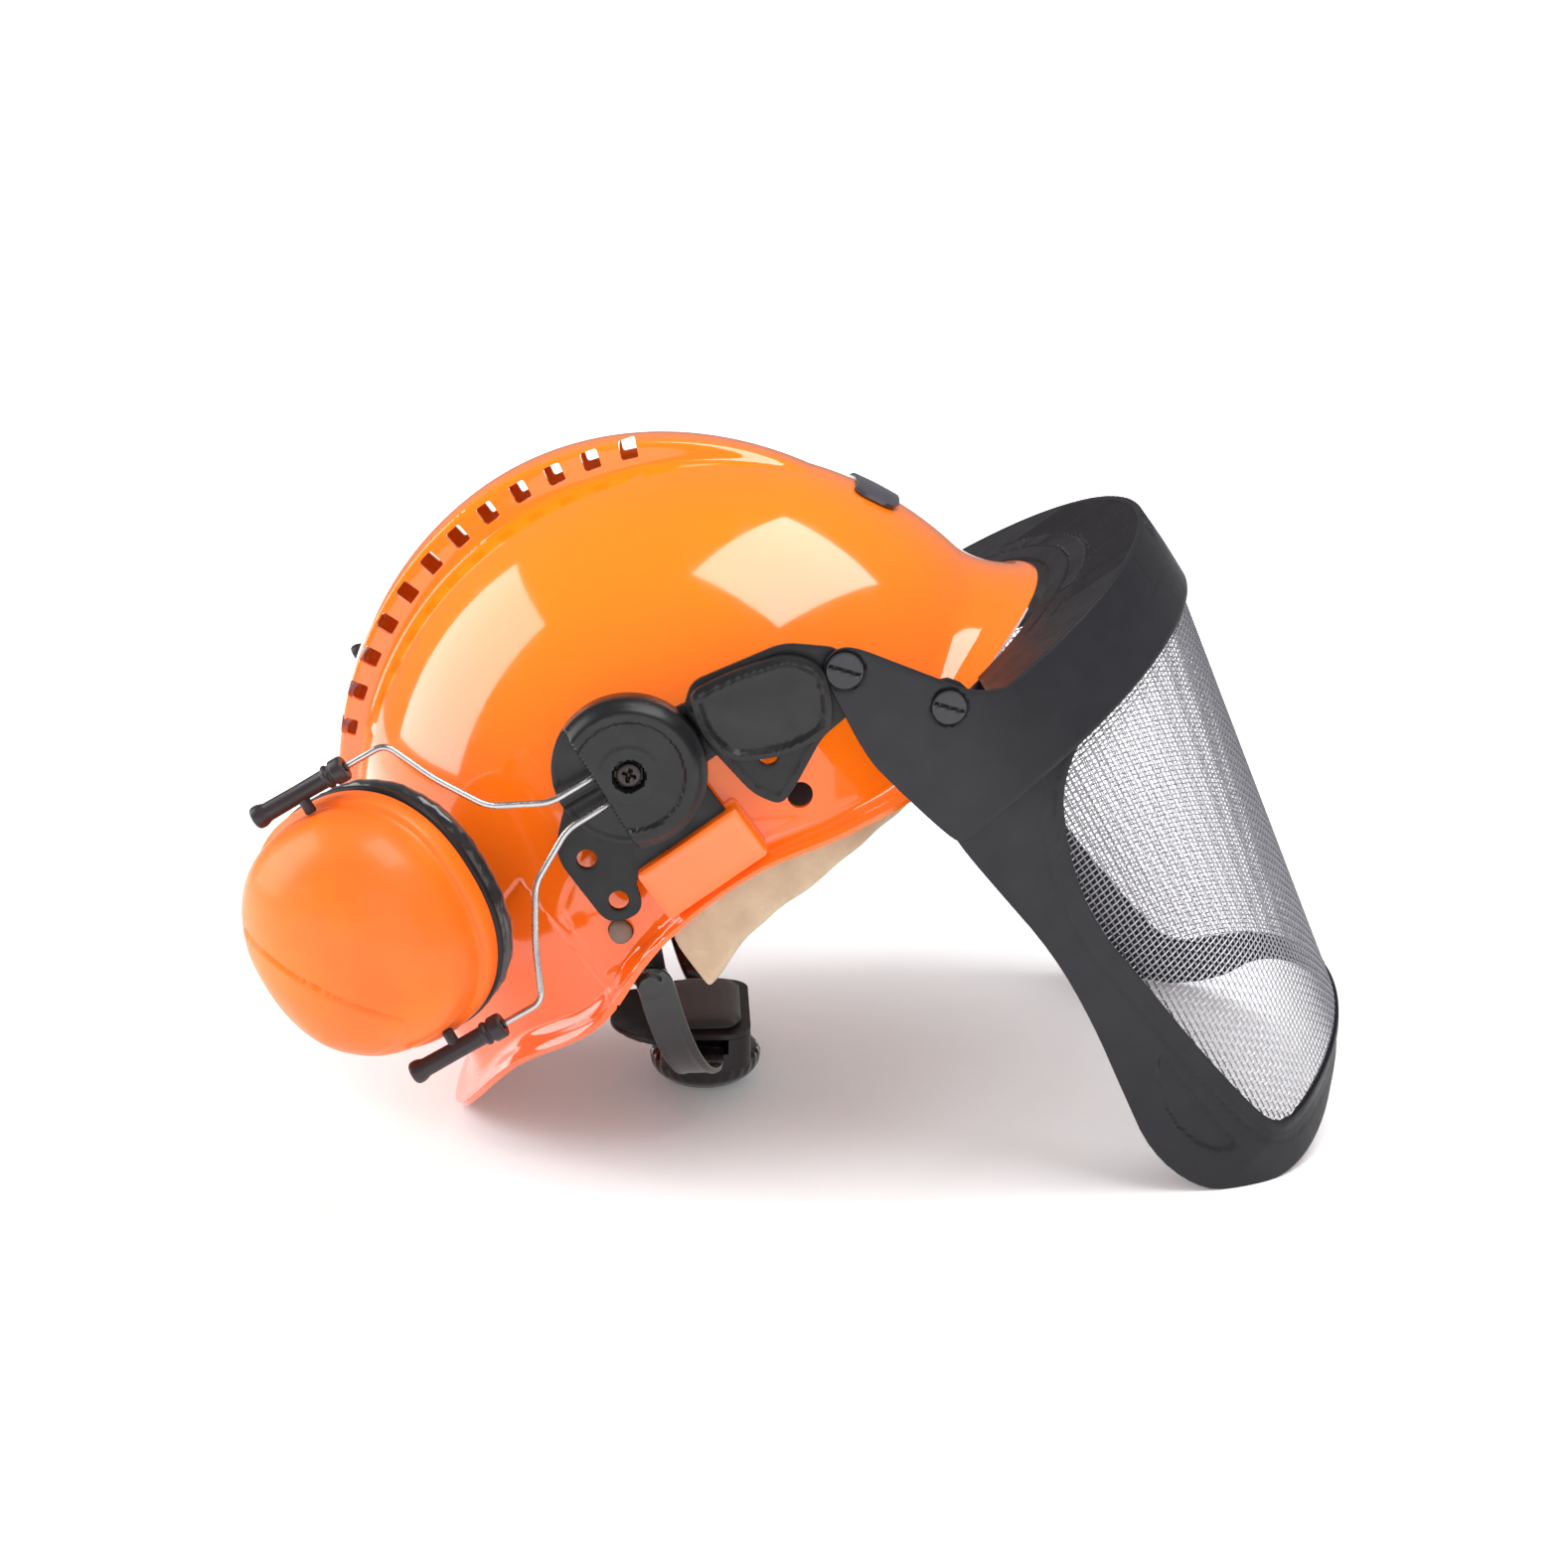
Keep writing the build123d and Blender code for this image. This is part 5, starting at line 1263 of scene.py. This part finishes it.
def build_nape():
    seat = nape_seat()
    # the domed knob: polished, with a shallow dish line and small grips round its edge
    back = KNOB_FACE - 15.7
    height = KNOB_FACE - back - 4
    profile = [(0.02, KNOB_FACE)]

    def gripped(verts):
        angle = np.arctan2(verts[:, 1], verts[:, 0])
        radial = np.hypot(verts[:, 0], verts[:, 1])
        grips = smooth(0.93, 0.985, radial / KNOB_RADIUS) * (0.5 - 0.5 * np.cos(angle * 28)) * 0.55
        verts[:, :2] *= (1 - grips / np.maximum(radial, 1))[:, None]
        verts[:, 2] -= 0.45 * bell(KNOB_RADIUS * 0.80, 0.9, radial) * (verts[:, 2] > back + 4)
        return verts
    for a in np.linspace(0.06, math.pi / 2, 26):
        share = 4 / KNOB_RADIUS + (1 - 4 / KNOB_RADIUS) * math.sin(a)
        profile.append((share, back + 4 + height * math.cos(a)))
    profile += [(1.0, back + 2.6), (0.96, back + 1.2), (0.90, back + 0.2), (0.6, back), (0.02, back)]
    turned("knob_dome", profile, (KNOB_RADIUS, KNOB_RADIUS), 144, KNOB, "knob",
           seat @ move(0, 0, NAPE_Z) @ turn("X", -90), shaped=gripped, node="ratchet_knob")

    pad_loop = round_loop([(-26, -15), (26, -15), (26, 15), (-26, 15)], 9)
    pad_seat = seat @ move(0, 86.8, NAPE_Z) @ turn("X", 90)
    simulate(moulding("nape_cushion", [pad_loop], flat_place(3.0), 4.6, PAD, "nape_unit", 3, None, 1.2, pad_seat,
                      node="nape_pad"), 0.0018)

    # the cradle: a curved leaf that hugs the nape above the ratchet
    def cradle_place(s, t, depth):
        return np.stack([s, 99.5 - 0.006 * (s**2 + t**2) - depth, NAPE_Z + t], 1)
    leaf = round_loop([(-23, 14, 2), (23, 14, 2), (27, 25, 8), (17, 38, 12), (-17, 38, 12), (-27, 25, 8)], 8, 8)

    def cradle_relief(s, t):
        border = distance_to(leaf, np.stack([s, t], 1))
        return 0.8 * bell(1.6, 1.6, border) + 0.5 * bell(0, 3, s % 12 - 6) * smooth(16, 18, t) * smooth(3, 5, border)
    moulding("nape_cradle", [leaf], cradle_place, 2.2, STRAP, "nape_unit", 1.6, cradle_relief, 0.6, seat)


def finish_cad_nodes():
    """Materials for the CAD nodes that stay on show, with small rounded edges."""
    kept = {"front_badge": BADGE, **dict.fromkeys(
        ("headband", "harness_clips", "ratchet_housing", "ratchet_cover", "ratchet_pinion"), STRAP)}
    for name, thing in frame["nodes"].items():
        if thing.hide_render:
            continue
        material = kept.get(name, BLACK)
        thing.data.materials.clear()
        thing.data.materials.append(material)
        thing.data.shade_smooth()
        thing.data.set_sharp_from_angle(angle=math.radians(30))
        add_modifier(thing, "BEVEL", width=0.0005, segments=2, limit_method="ANGLE", angle_limit=math.radians(50),
                     use_clamp_overlap=True)


# ---------------------------------------------------------------- stage
WORLD_LIGHT, WORLD_MIRRORED, WORLD_SEEN = 0.80, 0.26, 1.02
CAMERA_AT, LOOK_AT = Vector((-843, 52.2, 376.3)) / 1000, Vector((0, 15.4, 126.3)) / 1000
LENS, SENSOR = 51.33, 36
LIGHTS_AIM = (-0.02, 0.03, 0.16)


def aimed(name, data, at, target):
    """Puts a light or a camera at a point, looking at the target."""
    thing = bpy.data.objects.new(name, data)
    thing.location = Vector(at)
    thing.rotation_euler = (Vector(target) - Vector(at)).to_track_quat("-Z", "Y").to_euler()
    bpy.context.scene.collection.objects.link(thing)
    return thing


def area_light(name, at, size, power):
    data = bpy.data.lights.new(name, "AREA")
    data.shape = "RECTANGLE"
    data.size, data.size_y = size
    data.energy = power
    aimed(name, data, at, LIGHTS_AIM)


def build_stage():
    mesh = bpy.data.meshes.new("floor")
    size = 4.0
    verts = [(-size, -size, 0), (size, -size, 0), (size, size, 0), (-size, size, 0)]
    mesh.from_pydata(verts, [], [(0, 1, 2, 3)])
    floor = bpy.data.objects.new("floor", mesh)
    bpy.context.scene.collection.objects.link(floor)
    new = Shader("floor_white")
    shade = new.remap(new.noise(400, 2), 0.3, 0.7, 0, 1)
    # painted light: the floor glows, faintly near the helmet and more strongly further out, so the far floor stays
    # white
    reach = new.add("VectorMath", {0: new.where}, "Value", operation="LENGTH")
    mesh.materials.append(new.finish({
        "Base Color": new.blend(shade, (0.93, 0.93, 0.935), (0.9, 0.895, 0.905)),
        "Roughness": 0.7, "Specular IOR Level": 0.1,
        "Emission Color": (1, 1, 1, 1), "Emission Strength": new.remap(reach, 280, 620, 0.10, 0.9)}))

    world = bpy.data.worlds.new("studio")
    bpy.context.scene.world = world
    world.use_nodes = True
    tree = Tree(world.node_tree)
    glossy = tree.remap(tree.add("LightPath", {}, "Is Glossy Ray"), 0, 1, WORLD_LIGHT, WORLD_MIRRORED)
    seen = tree.remap(tree.add("LightPath", {}, "Is Camera Ray"), 0, 1, 0, WORLD_SEEN)
    tree.feed(tree.nodes["Background"], {"Color": (1, 1, 1, 1), "Strength": tree.combine("MAXIMUM", glossy, seen)})
    area_light("window_rear", (0.0, 1.14, 0.63), (0.80, 0.95), 10.5)
    area_light("window_top", (-0.26, -0.33, 1.24), (0.85, 0.62), 10.5)
    area_light("fill_front", (-1.5, -0.2, 0.5), (1.2, 0.8), 3.0)

    camera_data = bpy.data.cameras.new("camera")
    camera_data.lens, camera_data.sensor_width = LENS, SENSOR
    camera_data.clip_end = 20
    bpy.context.scene.camera = aimed("camera", camera_data, CAMERA_AT, LOOK_AT)
    bpy.context.scene.view_settings.view_transform = "Standard"


def build():
    build_shell_pieces()
    build_sides()
    build_muffs()
    woven_wires(build_visor_frame(), 2.35, 2.15, 0.31)
    build_bracket()
    build_sweatband()
    build_crown_straps()
    build_nape()
    build_nape_straps()
    finish_cad_nodes()
    build_stage()


build()
